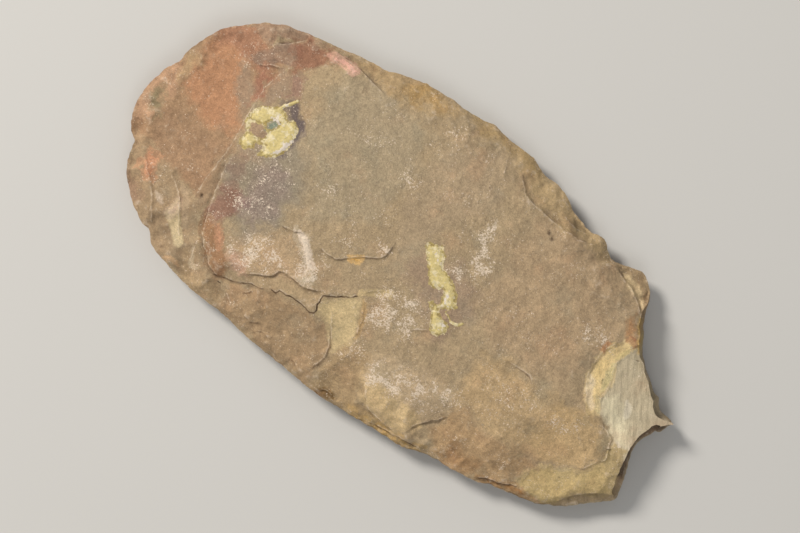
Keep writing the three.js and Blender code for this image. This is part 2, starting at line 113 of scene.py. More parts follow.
# Steps and cracks of the upper face, each along a path with the lower side on its right: how far it
# drops, how far from the path the lower side has risen again, and how dark the painted shade in its
# crevice is (which also deepens its groove).
steps = {
    "wide bit flake": ([(-104, 42), (-108, 28), (-107, 10), (-104.5, -6), (-104.3, -18), (-104.6, -30),
        (-103, -42)], 0.7, 22, 0.12),
    "raised lobe": ([(-101, -12), (-98.5, -24), (-95.5, -34), (-93, -42), (-90.5, -48.5), (-87, -53.5),
        (-81, -58.5), (-75, -62.3), (-71, -63), (-66, -60)], 1.8, 15, 0.5),
    "lobe to layer": ([(-69.7, -62.8), (-66.2, -61.5), (-62.6, -60.3), (-57.5, -57.6), (-54.3, -55.9),
        (-51.3, -55.2), (-48.7, -54.4), (-46.9, -52.7)], 0.7, 8, 0.8),
    "splits under it": ([(-56.5, -64.3), (-53.5, -60.5), (-49.6, -56.9)], 0.5, 6, 0.6),
    "short crack": ([(-70, -65.4), (-68.4, -65), (-66, -64.5)], 0.3, 3, 1.0),
    "thin layer": ([(-63, -56), (-58, -52.3), (-53, -49.4), (-49.4, -47.1), (-47.5, -44), (-46.6, -41.9),
        (-42.8, -41.5), (-37, -41.6), (-30.2, -40.7), (-25.1, -37.8), (-22, -35)], 1.3, 8, 0.55),
    "crack": ([(-46, -53.4), (-44.4, -52), (-42.2, -52), (-41.2, -50), (-37.7, -49.5), (-31, -48.9),
        (-27.5, -48.9), (-23.1, -49.9), (-21.2, -48.9), (-20.7, -46.5), (-22, -44.3), (-22, -41.3),
        (-22.4, -39.1), (-20.6, -37.8), (-13.4, -33), (-9.9, -30.1), (-7.9, -27.3)], 0.5, 9, 1.0),
    "crack's end": ([(-7.9, -27.3), (-4, -22.5), (2, -17)], 0.6, 9, 0.15),
    "middle flake": ([(-64, -24.5), (-61.8, -23.5), (-57.3, -23.6), (-53.7, -22.4), (-50.2, -20.6),
        (-45, -19.8)], 0.7, 9, 0.6),
    "middle flake, right": ([(-42, -19), (-39.6, -20.8), (-33, -21.5), (-27.3, -20.6), (-24.6, -17.6),
        (-23.3, -16.5), (-19, -12.5), (-12, -8), (-9, -2), (-10, 6)], 0.8, 12, 0.5),
    "white ridge": ([(-52.5, -22), (-47, -23.6), (-41.5, -27), (-37.4, -31.3), (-35.5, -35), (-33, -40.5)],
        0.8, 8, 0.0),
    "yellow flake, right": ([(3, -51), (2.8, -47), (0.3, -36.4), (-4.5, -28.3)], 0.5, 7, 0.2),
    "yellow flake, ridge": ([(-17, -38), (-14.9, -41.8), (-10, -49.6), (-5, -56.4), (-3.6, -60)], 0.4, 8,
        0.1),
    "brown flake": ([(-6.8, -76.4), (-5, -70.5), (-3.5, -64.1), (-5, -57.1), (-9, -52.1), (-12, -48)], 0.9,
        12, 0.3),
    "brown hollow": ([(-44.8, -56.7), (-42.6, -59.4), (-40.3, -63.9), (-40.8, -67.9)], 0.6, 9, 0.15),
    "ridge by the edge": ([(-64.3, -65.9), (-61.5, -68), (-58.7, -69.7), (-57, -73)], 0.5, 6, 0.3),
    "edge scar, left": ([(-46.3, -72.5), (-42.6, -71.5), (-36.8, -67.4)], 0.7, 6, 0.45),
    "edge scar": ([(-41.1, -77.1), (-39.5, -74.5), (-37.1, -72.3), (-33.8, -72), (-31.4, -73.4),
        (-29, -76)], 0.8, 5, 0.3),
    "edge scar, right": ([(-17.7, -73.8), (-14, -75), (-10.6, -76.1)], 0.4, 4, 0.5),
    "edge pocket": ([(3, -80), (4.4, -78), (6, -76.8), (8.4, -76.2), (10.8, -77), (13, -78.6)], 1.1, 4,
        0.55),
    "swell, right": ([(51, -71), (53, -63.5), (58, -57), (62, -52), (63, -46)], 1.0, 12, 0.4),
    "swell, foot": ([(19, -59), (22, -63.5), (25, -67), (28, -70), (32, -71.6), (38, -72), (51, -72.6)],
        1.1, 10, 0.35),
    "edge under the swell": ([(27, -78.4), (34, -76.3), (40, -75), (47, -73.8), (53, -72.8), (62, -71.4)],
        0.7, 4, 0.75),
    "beside the drip": ([(20, -29), (26, -24), (34, -20.5)], 0.5, 8, 0.25),
    "haft arc": ([(66, -10.4), (72, -9.8), (79, -9.3), (84, -9.2), (87, -12), (91, -15)], 0.5, 6, 0.5),
    "haft ridge": ([(127, -34), (130, -32), (133.3, -29.4), (136.5, -23.8), (139.6, -20.2), (138.5, -17.7),
        (136.5, -13), (135.6, -9.7), (131, -7.7), (126.2, -6.6), (121.8, -5.3)], 0.6, 9, 0.22),
    "seams in the yellow rim": ([(113.4, 14), (114.4, 11), (115.8, 8)], 0.15, 2, 0.6),
    "short seam": ([(124, 30.8), (122.8, 29.4), (120.8, 28.4)], 0.15, 2, 0.6),
    "grey flake": ([(117.5, -8), (113.4, -1), (110.5, 2.6), (106.6, 9.4), (105.6, 17.8), (106.6, 25.6),
        (112, 34)], 0.45, 16, 0.0),
    "grey flake, inner": ([(122.4, -3), (119.4, 3.6), (119, 10.4), (117, 15.8), (114.6, 22.6), (116, 29)],
        0.3, 6, 0.05),
    "cracked edge": ([(92, -66), (98, -63.5), (101.5, -62), (104, -61.3), (107, -60), (110.2, -58),
        (113.8, -56)], 1.2, 6, 0.95),
    "tan border": ([(113.8, -56), (113.1, -52.4), (112.9, -45)], 0.4, 8, 0.2),
    "haft shoulder": ([(113, 46), (106, 52), (99, 56.3), (92, 58.2), (84, 61)], 1.5, 16, 0.3),
    "upper bit step": ([(-102, 60), (-107.5, 56.5), (-113, 50.5), (-120.5, 45)], 1.1, 14, 0.7),
    "rough patch": ([(-123, 35), (-117, 34), (-110, 37.8), (-103, 40.5)], 0.7, 8, 0.45),
    "upper border": ([(-55, 57.6), (-60, 59.6), (-68, 61), (-80, 62.6), (-90, 62.8)], 0.8, 9, 0.55),
    "upper right flake": ([(74.8, 65.8), (70, 62.6), (63.3, 60.3), (52, 59.4), (40.4, 59.9), (33, 60.6),
        (27.2, 62.5), (23.6, 66), (18.7, 71)], 1.2, 9, 0.3),
    "ripple in it": ([(70, 66.4), (62, 64.4), (54, 64.2), (47, 66)], 0.5, 5, 0.2),
    "dark wedge": ([(14, 60), (12, 67), (8, 74)], 0.5, 8, 0.15),
    "bit ridge": ([(-95, -63), (-101, -55), (-108, -45), (-113, -40), (-124, -33)], 0.6, 9, 0.1),
    "bit ridge, lower": ([(-110, -66), (-120, -52), (-130, -42), (-139, -35)], 0.6, 8, 0.15),
    "beside the lobe": ([(-90.8, -50), (-89.6, -56), (-88.6, -60), (-87.2, -64), (-86.6, -67.4),
        (-84, -69.6)], 0.7, 7, 0.4),
    "bevel": ([(133, -52), (141, -41), (150, -33.5)], 0.5, 3, 0.3),
}

# Colours of the upper face, painted in this order: red, green and blue, how strong, how soft its
# border is, and the border.
paint = {
    "greenish middle": ((174, 154, 123), 0.9, 9, [(-80, 58), (-60, 62), (-35, 55), (-22, 40), (-24, 8),
        (-52, -16), (-62, 5), (-78, 20)]),
    "warm middle": ((177, 153, 121), 0.9, 9, [(-16, 60), (10, 72), (20, 50), (4, 20), (0, -10), (-10, 4),
        (-19, 28)]),
    "haft side": ((179, 152, 118), 0.9, 10, [(42, 62), (80, 60), (107, 50), (106, 10), (100, -5), (60, -8),
        (38, 0)]),
    "upper right edge": ((183, 156, 115), 0.9, 4, [(12, 82), (30, 78), (50, 73), (66, 69), (75, 70),
        (84, 63), (82, 60), (66, 60), (52, 59), (38, 60), (27, 64), (16, 71)]),
    "around the drip": ((163, 137, 113), 0.7, 8, [(4, 4), (22, 14), (36, 8), (44, -6), (38, -24), (18, -12),
        (4, -6)]),
    "speckled haft side": ((191, 161, 119), 0.9, 6, [(58, -14), (72, -11), (88, -13), (118, -8), (114, -40),
        (95, -44), (60, -41)]),
    "brown haft side": ((199, 167, 121), 0.9, 5, [(104, -9), (122, -8), (134, -11), (139, -20), (128, -33),
        (112, -41), (103, -34)]),
    "tan haft facet": ((199, 172, 120), 1.0, 3, [(113, -45), (124, -38), (131, -33), (137, -24), (141, -20),
        (150, -33), (142, -42), (132, -54), (114, -57)]),
    "lower brown": ((182, 149, 109), 0.9, 5, [(62, -44), (100, -44), (113, -46), (112, -56), (94, -66),
        (68, -72), (60, -62)]),
    "orange-brown": ((172, 134, 93), 0.8, 5, [(72, -58), (88, -60), (90, -67), (74, -69)]),
    "bevel tone": ((172, 125, 75), 0.9, 2, [(92, -67), (102, -61), (113, -57), (126, -57), (112, -62)]),
    "swell": ((189, 163, 128), 1.0, 4, [(12, -48), (30, -41), (50, -38), (62, -45), (60, -54), (52, -64),
        (50, -72), (33, -72), (23, -65)]),
    "swell foot": ((211, 181, 133), 0.9, 4, [(17, -57), (26, -59), (38, -58), (53, -56), (54, -64),
        (50, -72), (36, -71.5), (28, -69), (21, -63)]),
    "under the swell": ((195, 156, 93), 0.8, 3, [(10, -75), (30, -72.5), (52, -73), (64, -71), (54, -77),
        (26, -80)]),
    "right of the flake": ((175, 147, 109), 0.9, 5, [(0, -50), (12, -48), (24, -68), (28, -76), (10, -81),
        (-3, -80)]),
    "brown flake": ((171, 142, 107), 1.0, 4, [(-64, -61), (-50, -57), (-44, -53), (-24, -51), (-12, -51),
        (-5, -58), (-4, -80), (-30, -80), (-60, -77)]),
    "cream flake": ((204, 179, 133), 1.0, 2, [(-21.5, -40), (-13, -33), (-7, -29), (-4, -29.5), (0, -36),
        (2, -45), (2, -52), (-3, -60), (-5, -57), (-14, -48), (-20, -46)]),
    "cream flake, seam": ((190, 157, 110), 0.9, 1.2, [(-5, -28.6), (-2.6, -29), (2, -36), (3.6, -46),
        (2.2, -47), (0, -38)]),
    "layer": ((179, 153, 117), 1.0, 2, [(-58, -54), (-49, -47.6), (-46, -42.4), (-38, -42), (-30, -41),
        (-23, -37), (-22, -40), (-21.6, -48), (-30, -48.6), (-41, -50), (-48, -53.5)]),
    "lobe": ((187, 158, 122), 1.0, 5, [(-70, -33), (-61, -27), (-56, -25), (-48, -22), (-36, -33),
        (-31, -40), (-45, -42), (-49, -47), (-60, -54), (-69, -53), (-74, -44)]),
    # The white ridge: white crust, with painted highlight on its lit left face, brightest along the crest.
    "white ridge": ((204, 186, 158), 0.9, 2, [(-53, -20), (-47, -21.5), (-41, -25), (-36, -30), (-34, -35),
        (-30, -35), (-32, -39.5), (-37, -39.5), (-36.5, -34), (-41, -29), (-48, -25)]),
    "white ridge crest, crust and painted highlight": ((249, 227, 205), 0.9, 1, [(-50, -20.9), (-44, -23.3), (-38, -27.6), (-35, -31),
        (-36, -31.8), (-39.5, -28.3), (-44.8, -24.8), (-50, -22.1)]),
    "line past the crack": ((223, 195, 140), 0.9, 1, [(-8, -27.4), (-2, -23.2), (4, -19), (3.6, -17.6),
        (-3, -21.4), (-8.6, -25.8)]),
    "olive pocket": ((121, 93, 54), 0.9, 1.6, [(2, -79.8), (5, -76.2), (10, -75.6), (13, -77.2), (9, -80.4),
        (5, -81)]),
    "pit": ((92, 72, 54), 1.0, 0.8, [(47.4, 52.8), (48, 54.4), (49.4, 53.8), (49, 52.2)]),
    "pit beside it": ((92, 72, 54), 1.0, 0.8, [(50.2, 51), (50.8, 52.6), (52.4, 52), (51.8, 50.4)]),
    "char haze": ((154, 140, 118), 0.8, 9, [(-99, -2), (-85, 22), (-72, 12), (-60, -2), (-60, -22),
        (-72, -42), (-97, -24)]),
    "char": ((152, 132, 118), 0.85, 7, [(-84, -2), (-72, -2), (-64, -12), (-64, -24), (-72, -34),
        (-80, -32), (-84, -18)]),
    "char streak": ((146, 120, 101), 0.8, 4, [(-97, -6), (-93, -6), (-90, -18), (-92, -28), (-96, -24)]),
    "orange lobe": ((164, 125, 90), 1.0, 3, [(-93, -40), (-87, -41), (-80, -43), (-76, -49), (-70, -56),
        (-66, -61), (-72, -64), (-80, -61), (-88, -54), (-92, -47)]),
    "orange lobe, bright": ((214, 158, 121), 0.9, 2, [(-86, -43), (-81, -43), (-77, -49), (-77, -53),
        (-82, -49)]),
    "lobe pink": ((204, 163, 135), 0.8, 3, [(-73, -48), (-64, -48), (-60, -54), (-66, -57), (-72, -54)]),
    "pink lobe": ((148, 110, 91), 0.9, 4, [(-97, -27), (-90, -22), (-84, -25), (-82, -32), (-84, -41),
        (-93, -41), (-95, -34)]),
    "pink crust": ((154, 119, 112), 0.6, 2, [(-86, -24), (-80, -22), (-78, -27), (-83, -31)]),
    "grey by the ring": ((99, 86, 88), 0.8, 3, [(-97, 25), (-92, 31), (-84, 25), (-79, 20), (-78, 8),
        (-82, 0), (-86, 18), (-92, 23)]),
    "bit": ((166, 133, 100), 1.0, 3, [(-158, 25), (-140, 46), (-122, 40), (-106, 40), (-109, 24), (-107, 8),
        (-103, -8), (-104, -36), (-120, -34), (-138, -30), (-158, -34)]),
    "bit orange": ((183, 135, 99), 1.0, 8, [(-146, 30), (-134, 36), (-122, 32), (-112, 12), (-107, -4),
        (-122, -6), (-140, 2)]),
    "bit brown": ((167, 133, 101), 0.9, 8, [(-146, -14), (-125, -10), (-105, -10), (-103, -36), (-120, -34),
        (-138, -30)]),
    "bit rim": ((194, 153, 119), 0.9, 5, [(-158, 8), (-150, 14), (-144, 8), (-144, -12), (-150, -28),
        (-159, -20)]),
    "bit rim green": ((188, 156, 116), 0.8, 4, [(-152, 18), (-144, 16), (-143, 2), (-148, 4)]),
    "bit rim green, low": ((140, 129, 96), 0.8, 4, [(-151, -2), (-145, -4), (-144, -18), (-150, -14)]),
    "green patch": ((164, 135, 108), 0.9, 3, [(-126, 30), (-118, 30), (-111, 21), (-109, 9), (-116, 13),
        (-122, 20)]),
    "bit top": ((171, 124, 95), 0.9, 5, [(-148, 33), (-138, 46), (-127, 51), (-119, 43), (-110, 38),
        (-112, 31), (-126, 34), (-140, 30)]),
    "light edge flakes": ((167, 135, 108), 1.0, 2.5, [(-134, 47), (-122, 58), (-103, 63), (-104, 60),
        (-108, 57), (-120, 46)]),
    "rough patch": ((148, 121, 100), 0.9, 2.5, [(-124, 35), (-119, 44), (-107, 55.5), (-104, 56),
        (-103, 42), (-110, 38), (-118, 34)]),
    "red stain": ((149, 104, 80), 0.9, 4, [(-110, 55), (-104, 60), (-92, 61), (-90, 54), (-97, 44),
        (-102, 38), (-106, 45)]),
    "red seam": ((165, 116, 91), 0.9, 3, [(-113, 36), (-107, 34), (-106, 22), (-110, 14), (-112, 24)]),
    "strip": ((162, 136, 110), 0.9, 2.5, [(-107, 38), (-100, 38), (-99, 24), (-102, 18), (-106, 24)]),
    "lower strip": ((158, 130, 100), 0.9, 2, [(-104.5, -3), (-101, -8), (-100, -16), (-97, -26), (-96, -36),
        (-98, -42), (-103, -42), (-104.4, -30), (-104.4, -12)]),
    "red by the strip": ((150, 113, 99), 0.7, 3, [(-100, 40), (-92, 42), (-92, 32), (-99, 28)]),
    "yellow edge": ((181, 153, 113), 1.0, 4, [(-84, 64), (-62, 62.5), (-50, 60), (-38, 66), (-24, 70),
        (-20, 80), (-50, 78), (-74, 72)]),
    "yellow edge, strong": ((179, 143, 90), 0.8, 5, [(-52, 68), (-40, 66), (-30, 74), (-46, 77)]),
    "crown": ((179, 149, 100), 0.6, 4, [(-20, 80), (0, 82), (30, 79), (28, 73), (0, 75), (-20, 75)]),
    "lower left": ((169, 142, 109), 1.0, 4, [(-148, -33), (-137, -30), (-120, -35), (-104, -40), (-98, -44),
        (-91, -55), (-84, -60), (-68, -66), (-68, -78), (-100, -75), (-120, -65), (-138, -52)]),
    "lower left brown": ((176, 149, 112), 0.7, 4, [(-92, -64), (-70, -66), (-60, -78), (-90, -76)]),
    "cream strip": ((215, 191, 148), 1.0, 1.2, [(-110.2, -44.3), (-107.8, -45.2), (-104.6, -49),
        (-100.9, -53.3), (-96.7, -57.2), (-94, -61), (-95.8, -63.6), (-98.4, -64), (-103.2, -58.9),
        (-106.8, -56.2), (-110.4, -53.8), (-110.3, -49.4), (-110.1, -47.1)]),
    "cream strip, top": ((192, 164, 140), 0.8, 2, [(-110.2, -44.3), (-107.8, -45.2), (-105, -49),
        (-108, -53.6), (-110.4, -53.8), (-110.3, -49)]),
    "pale patch": ((194, 166, 132), 0.8, 1.2, [(-112, -39), (-107.3, -39.2), (-107.6, -41.6),
        (-108.8, -42.2), (-111.6, -40.6)]),
    "white sliver": ((208, 186, 163), 0.95, 1, [(-120.8, -48.4), (-117.9, -48.2), (-115.2, -50),
        (-116, -51.2), (-118.2, -50.8)]),
    "pale wedge": ((204, 180, 146), 0.85, 1.4, [(-89.4, -58), (-88.4, -58), (-86.6, -62), (-84.4, -65),
        (-79.7, -64.6), (-80, -66), (-83.5, -68.2), (-86.8, -67.6), (-87.6, -63.6)]),
    "light on the edge": ((226, 183, 137), 0.8, 1.2, [(-98.4, -72.4), (-96, -69.4), (-92, -69.6),
        (-89.6, -71.6), (-91, -72.8), (-94, -71.6), (-97.4, -73)]),
    "dark pit": ((74, 54, 38), 1.0, 0.8, [(-102.6, -34.6), (-101.4, -34.8), (-101, -36.8),
        (-102.2, -36.8)]),
    "cream line": ((185, 158, 125), 0.8, 1.2, [(-113, -37), (-108, -38), (-104, -44), (-98, -53),
        (-100, -54), (-107, -45)]),
    "pink edge patch": ((205, 147, 110), 0.9, 3, [(-138, -34), (-128, -32), (-124, -42), (-129, -47),
        (-137, -42)]),
    "pink edge, lower": ((167, 134, 107), 0.8, 3, [(-145, -42), (-140, -44), (-125, -57), (-130, -60),
        (-142, -50)]),
    "haft shoulder": ((163, 138, 104), 1.0, 2, [(82, 61.5), (90, 66), (98, 68), (107, 63), (113, 52),
        (113, 46), (105, 53), (92, 58.5)]),
    "haft shoulder cream": ((219, 192, 147), 0.9, 1.2, [(90, 59.5), (98, 60.6), (104, 58.6), (111, 51),
        (108, 51.5), (98, 56.4)]),
    "grey flake": ((195, 178, 146), 1.0, 1.4, [(118.4, 34.4), (115.3, 29), (114.2, 22.6), (117, 15.8),
        (119, 10.4), (119.2, 3.6), (122.4, -3), (126.6, -3.6), (131, -6.4), (135.3, -9.4), (137.4, -13),
        (139.6, -18), (147, -14), (150, -6), (153, 6), (158, 12), (150, 18), (142, 23), (130, 31)]),
    "pale flake": ((223, 208, 172), 0.95, 4, [(121, 8), (126, 9), (131, 3), (139, -1), (144, -8),
        (139, -14), (131, -5.5), (122, -3)]),
    "white streak": ((255, 240, 212), 0.9, 1, [(130.4, 9.4), (132.2, 9), (135.2, 4), (134, 2.4)]),
    "tan by the notch": ((190, 165, 117), 0.9, 2.5, [(138, -12), (144, -10), (148, -20), (152, -28),
        (155, -32), (150, -33), (145, -27), (140, -20)]),
    "pink strip": ((188, 169, 135), 0.9, 2, [(120, 37), (124, 34), (135, 26.5), (142, 22.4), (151, 16),
        (153, 12.6), (146, 14.6), (138, 19), (130, 24), (121, 30.4)]),
    "horn": ((180, 160, 132), 0.8, 2, [(147, 14), (157, 16), (158, 12.6), (151, 7.4), (146, 9.6)]),
    "haft pink edge": ((176, 133, 92), 0.9, 3, [(108, 48), (113, 42), (115, 36), (110, 36), (106, 42)]),
    "yellow rim": ((243, 212, 153), 1.0, 2, [(106, 26), (109, 30), (113, 35), (117.6, 34), (115, 29),
        (114, 22.6), (117, 15.8), (119, 10), (119, 3), (122, -4), (117, -8), (113, -1), (110.5, 2.6),
        (106.5, 9.4), (105.6, 17.8)]),
    "yellow rim, pale": ((243, 218, 176), 0.9, 1.6, [(107, 10), (111, 9), (114, 3), (118, -2), (117, -6),
        (113, -1), (110, 3)]),
    "yellow seam": ((241, 209, 147), 0.9, 1.4, [(106.6, 19), (111, 21), (113, 15), (111, 9), (108, 12)]),
    "yellow seam, upper": ((210, 187, 131), 0.9, 1.2, [(112, 27), (115, 31), (116.4, 30), (114.4, 24),
        (112.6, 22)]),
    "yellow seam, lower": ((181, 171, 133), 0.9, 1, [(117.4, 3), (119.4, 3), (121.8, -3), (119.6, -3)]),
    "olive rim": ((216, 196, 142), 0.9, 1.2, [(113, 21), (114.6, 22), (117, 15.8), (118.6, 9), (117, 5),
        (115, 9), (113, 15)]),
    "red point": ((141, 67, 31), 1.0, 1, [(112.5, 36), (117, 35.5), (116.5, 33.2), (112, 34)]),
    "red point, lower": ((199, 145, 101), 0.9, 1.4, [(104, 28), (107, 28), (106.5, 22), (104, 22)]),
    "olive streaks": ((201, 165, 96), 0.9, 1.4, [(111.4, 48), (113.6, 47), (118, 39), (122, 32.6),
        (120, 31), (116, 36), (112, 44)]),
    "light streaks": ((188, 168, 118), 0.9, 1.2, [(113, 50), (115, 49), (120, 40.6), (125, 33.6), (123, 33),
        (118, 40), (114, 47)]),
    "pink streak": ((245, 187, 164), 0.95, 1, [(-93, 58.4), (-90, 61), (-85, 62.4), (-80, 63), (-75, 60.6),
        (-76.6, 57.6), (-83, 58.2), (-88, 57.4)]),
    "purple patch": ((178, 157, 122), 0.9, 2, [(129, -8), (135, -9.6), (138, -15), (135, -18), (131, -14)]),
    "ring hole, brown": ((170, 141, 111), 0.95, 1, [(-103, 10), (-97, 11.4), (-92, 9), (-92.6, 4),
        (-97, 3.4), (-102, 4)]),
    "ring hole, dark": ((129, 138, 118), 0.95, 1, [(-96.6, 13), (-93.6, 16.6), (-90.4, 16), (-91.4, 11),
        (-95, 9.4)]),
    "amber point": ((244, 192, 112), 1.0, 1, [(-23.5, -15.5), (-18, -11), (-18.5, -15.5), (-22.5, -17)]),
}

# Where a white crust speckles the stone, and how thickly.
whiteCrust = [
    (1.35, [(21, 41), (27, 38), (30, 27), (36, 20), (38, 14), (32, 13), (28, 18), (24, 28)]),
    (0.6, [(14, 32), (18, 31), (20, 21), (16, 22)]),
    (1.3, [(19, 13), (27, 13), (27, 9), (21, 9)]),
    (0.8, [(-27, 37), (-19, 38), (-18, 31), (-26, 29)]),
    (0.65, [(-24, 55), (-20, 55), (-19, 50), (-23, 50)]),
    (0.8, [(-21, 70), (-14, 70), (-14, 61), (-20, 62)]),
    (0.85, [(-18, 1), (-10, 1), (-10, -4), (-16, -4)]),
    (0.6, [(-44, 2), (-38, 6), (-36, 2), (-40, -3)]),
    (0.7, [(-38, -12), (-28, -10), (-20, -9), (-24, -15), (-33, -17)]),
    (0.55, [(-36, -2), (-30, 0), (-28, -4), (-34, -6)]),
    (0.82, [(-72, -38), (-62, -28), (-56, -29), (-52, -34), (-46, -40), (-50, -46), (-56, -50), (-66, -55),
        (-74, -50)]),
    (0.9, [(-54, -19), (-46, -20), (-36, -27), (-29, -31), (-30, -38), (-38, -40), (-44, -30)]),
    (0.7, [(-34, -22), (-30, -24), (-26, -32), (-32, -31)]),
    (0.85, [(0, -14), (14, -12), (26, -18), (24, -28), (12, -34), (6, -44), (4, -40), (0, -32)]),
    (0.8, [(4, -46), (12, -50), (8, -56), (2, -58)]),
    (0.95, [(15, -52), (24, -48), (36, -46), (48, -40), (60, -37), (62, -43), (50, -46), (44, -54),
        (32, -59), (22, -62)]),
    (0.8, [(54, -38), (60, -38), (61, -46), (55, -47)]),
    (0.6, [(46, -54), (58, -48), (60, -54), (50, -60)]),
    (0.36, [(60, -16), (90, -13), (100, -18), (98, -28), (84, -34), (64, -30)]),
    (0.6, [(103, -15), (117, -13), (118, -20), (106, -26)]),
    (0.5, [(96, -50), (104, -50), (106, -56), (98, -58)]),
    (0.45, [(70, -52), (84, -48), (84, -56), (74, -58)]),
    (0.4, [(46, 14), (52, 14), (52, 4), (46, 6)]),
    (0.5, [(58, 14), (68, 20), (68, 14), (60, 10)]),
    (0.5, [(80, 14), (86, 14), (86, 8), (80, 8)]),
    (0.35, [(-26, 20), (-18, 20), (-14, 6), (-26, 2)]),
    (0.5, [(68, 8), (76, 8), (76, 0), (68, 2)]),
    (0.5, [(88, 30), (104, 34), (104, 24), (90, 20)]),
    (0.45, [(-100, 32), (-90, 34), (-90, 24), (-98, 24)]),
    (0.4, [(-94, 4), (-72, 4), (-64, -20), (-78, -34), (-92, -34)]),
    (0.9, [(-88, -24), (-80, -20), (-77, -27), (-84, -32)]),
    (0.6, [(-92, -38), (-86, -37), (-86, -42), (-91, -43)]),
    (0.6, [(-88, -62), (-85, -62), (-83, -68), (-87, -67)]),
    (0.5, [(-122, -46), (-112, -49), (-112, -51), (-120, -49)]),
    (0.4, [(60, 50), (70, 52), (76, 42), (64, 44)]),
    (0.7, [(-151, 6), (-145, 6), (-143, 0), (-149, -1)]),
    (0.5, [(-154, -8), (-149, -14), (-150, -20), (-154, -16)]),
    (0.4, [(-140, 34), (-126, 40), (-114, 34), (-120, 30)]),
    (0.5, [(-128, -34), (-118, -38), (-120, -46), (-126, -42)]),
    (0.4, [(-60, 40), (-40, 46), (-34, 36), (-52, 32)]),
    (0.4, [(-60, 12), (-44, 14), (-40, 4), (-56, 2)]),
    (0.35, [(0, 46), (12, 50), (14, 40), (2, 38)]),
]

# The dried yellow residue, and the holes in it.
residue = [
    [(-105, 14), (-103, 18), (-99, 20), (-96, 22.5), (-92, 21.6), (-89, 19.6), (-86, 21), (-83, 20),
     (-81, 16), (-80.4, 10), (-81, 5), (-84, 1.5), (-87, -1), (-90, -2.6), (-92, -1.6), (-94, -1),
     (-98, -4), (-101.5, -3.4), (-102, 1), (-101.6, 4), (-103, 5), (-105, 7), (-105.6, 11)],
    [(3.4, 13), (6, 14), (10, 15.8), (14, 13), (15, 9.6), (18, 7), (22, 6), (26, 4), (30, 1), (32, -2),
     (34, -4), (31, -7), (27, -8.6), (26, -5), (24, 0), (21, -1.6), (18, -3), (15, -1.6), (11, 4), (7, 8),
     (4, 11)],
    [(22, -8.8), (27, -9.6), (29, -12), (33, -13.5), (36, -14), (37, -17), (34.4, -21), (31, -21),
     (28, -17), (25, -12), (22, -10.4)],
]
residueHoles = [
    [(-97, 13.4), (-94, 16.6), (-90.4, 15.8), (-91.6, 11.4), (-95, 9.6)],
    [(-103.6, 9), (-98, 11.2), (-92.2, 8.8), (-92.4, 4.2), (-97, 3.4), (-102, 4)],
    [(-95.2, 1.4), (-90.4, 3.8), (-89.4, 1), (-91.6, -3.2), (-94.4, -1.4)],
]
residueStreaks = [
    ([(-96, 21.5), (-93.4, 26), (-90.6, 30.4)], 0.75),
    ([(36, -11.2), (39.4, -11), (41.2, -8.4)], 0.7),
    ([(31, -9), (34, -10.2), (36, -11.2)], 0.4),
]
residueWhite = [
    [(-85, 1), (-80, 5), (-79, 14), (-82, 17), (-84, 11), (-85.5, 6)],
    [(-97, 17), (-95, 19.5), (-91, 20.5), (-89, 17), (-92, 11), (-95, 14)],
    [(-94, 24), (-90, 32), (-89, 30), (-92, 23)],
    [(9, 14), (14, 10), (18, 5), (17, 4), (12, 8)],
    [(24, 0), (28, -1), (30, -7), (26, -7)],
    [(33, -13), (36, -14), (35, -20), (32, -16)],
]


# Smooth noise of about -1 to 1, with features about as large as wave.
def noise(x, y, wave, seed, octaves=1, fall=0.5):
    total, reach = np.zeros_like(x), 1.0
    for octave in range(octaves):
        turn = np.random.default_rng(seed + 31 * octave).uniform(0, 2 * math.pi, (256, 256))
        u, v = x / wave, y / wave
        i, j = np.floor(u).astype(int), np.floor(v).astype(int)
        u, v = u - i, v - j
        su, sv = (t * t * t * (t * (6 * t - 15) + 10) for t in (u, v))

        def corner(di, dj):
            angle = turn[(i + di) % 256, (j + dj) % 256]
            return np.cos(angle) * (u - di) + np.sin(angle) * (v - dj)

        low = corner(0, 0) * (1 - su) + corner(1, 0) * su
        high = corner(0, 1) * (1 - su) + corner(1, 1) * su
        total += reach * 1.5 * (low * (1 - sv) + high * sv)
        wave, reach = wave / 2, reach * fall
    return total


# Places pushed about by noise, which makes the borders drawn at them uneven.
def pushed(x, y, amount, wave, seeds, octaves=2, fall=0.5):
    return (x + amount * noise(x, y, wave, seeds[0], octaves, fall),
            y + amount * noise(x, y, wave, seeds[1], octaves, fall))


# Small scoops with sharp ridges between them, one about every size, for a roughly broken surface.
def scoops(x, y, size, deep, seed):
    cells = 128
    rng = np.random.default_rng(seed)
    jitter, tilt = rng.uniform(0.05, 0.95, (2, cells, cells)), rng.normal(0, deep / size, (2, cells, cells))
    base = rng.uniform(-deep / 2, deep / 2, (cells, cells))
    i, j = np.floor(x / size).astype(int), np.floor(y / size).astype(int)
    lowest = np.full(x.shape, 1e9)
    for di in (-1, 0, 1):
        for dj in (-1, 0, 1):
            a, b = (i + di) % cells, (j + dj) % cells
            u, v = x - (i + di + jitter[0, a, b]) * size, y - (j + dj + jitter[1, a, b]) * size
            floor = base[a, b] + tilt[0, a, b] * u + tilt[1, a, b] * v
            lowest = np.minimum(lowest, floor + 2.2 * deep * (u * u + v * v) / size**2)
    return lowest


def smooth(value, low, high):
    t = np.clip((value - low) / (high - low), 0, 1)
    return t * t * (3 - 2 * t)


def asPath(rows):
    return [tuple(row[:2]) for row in rows]


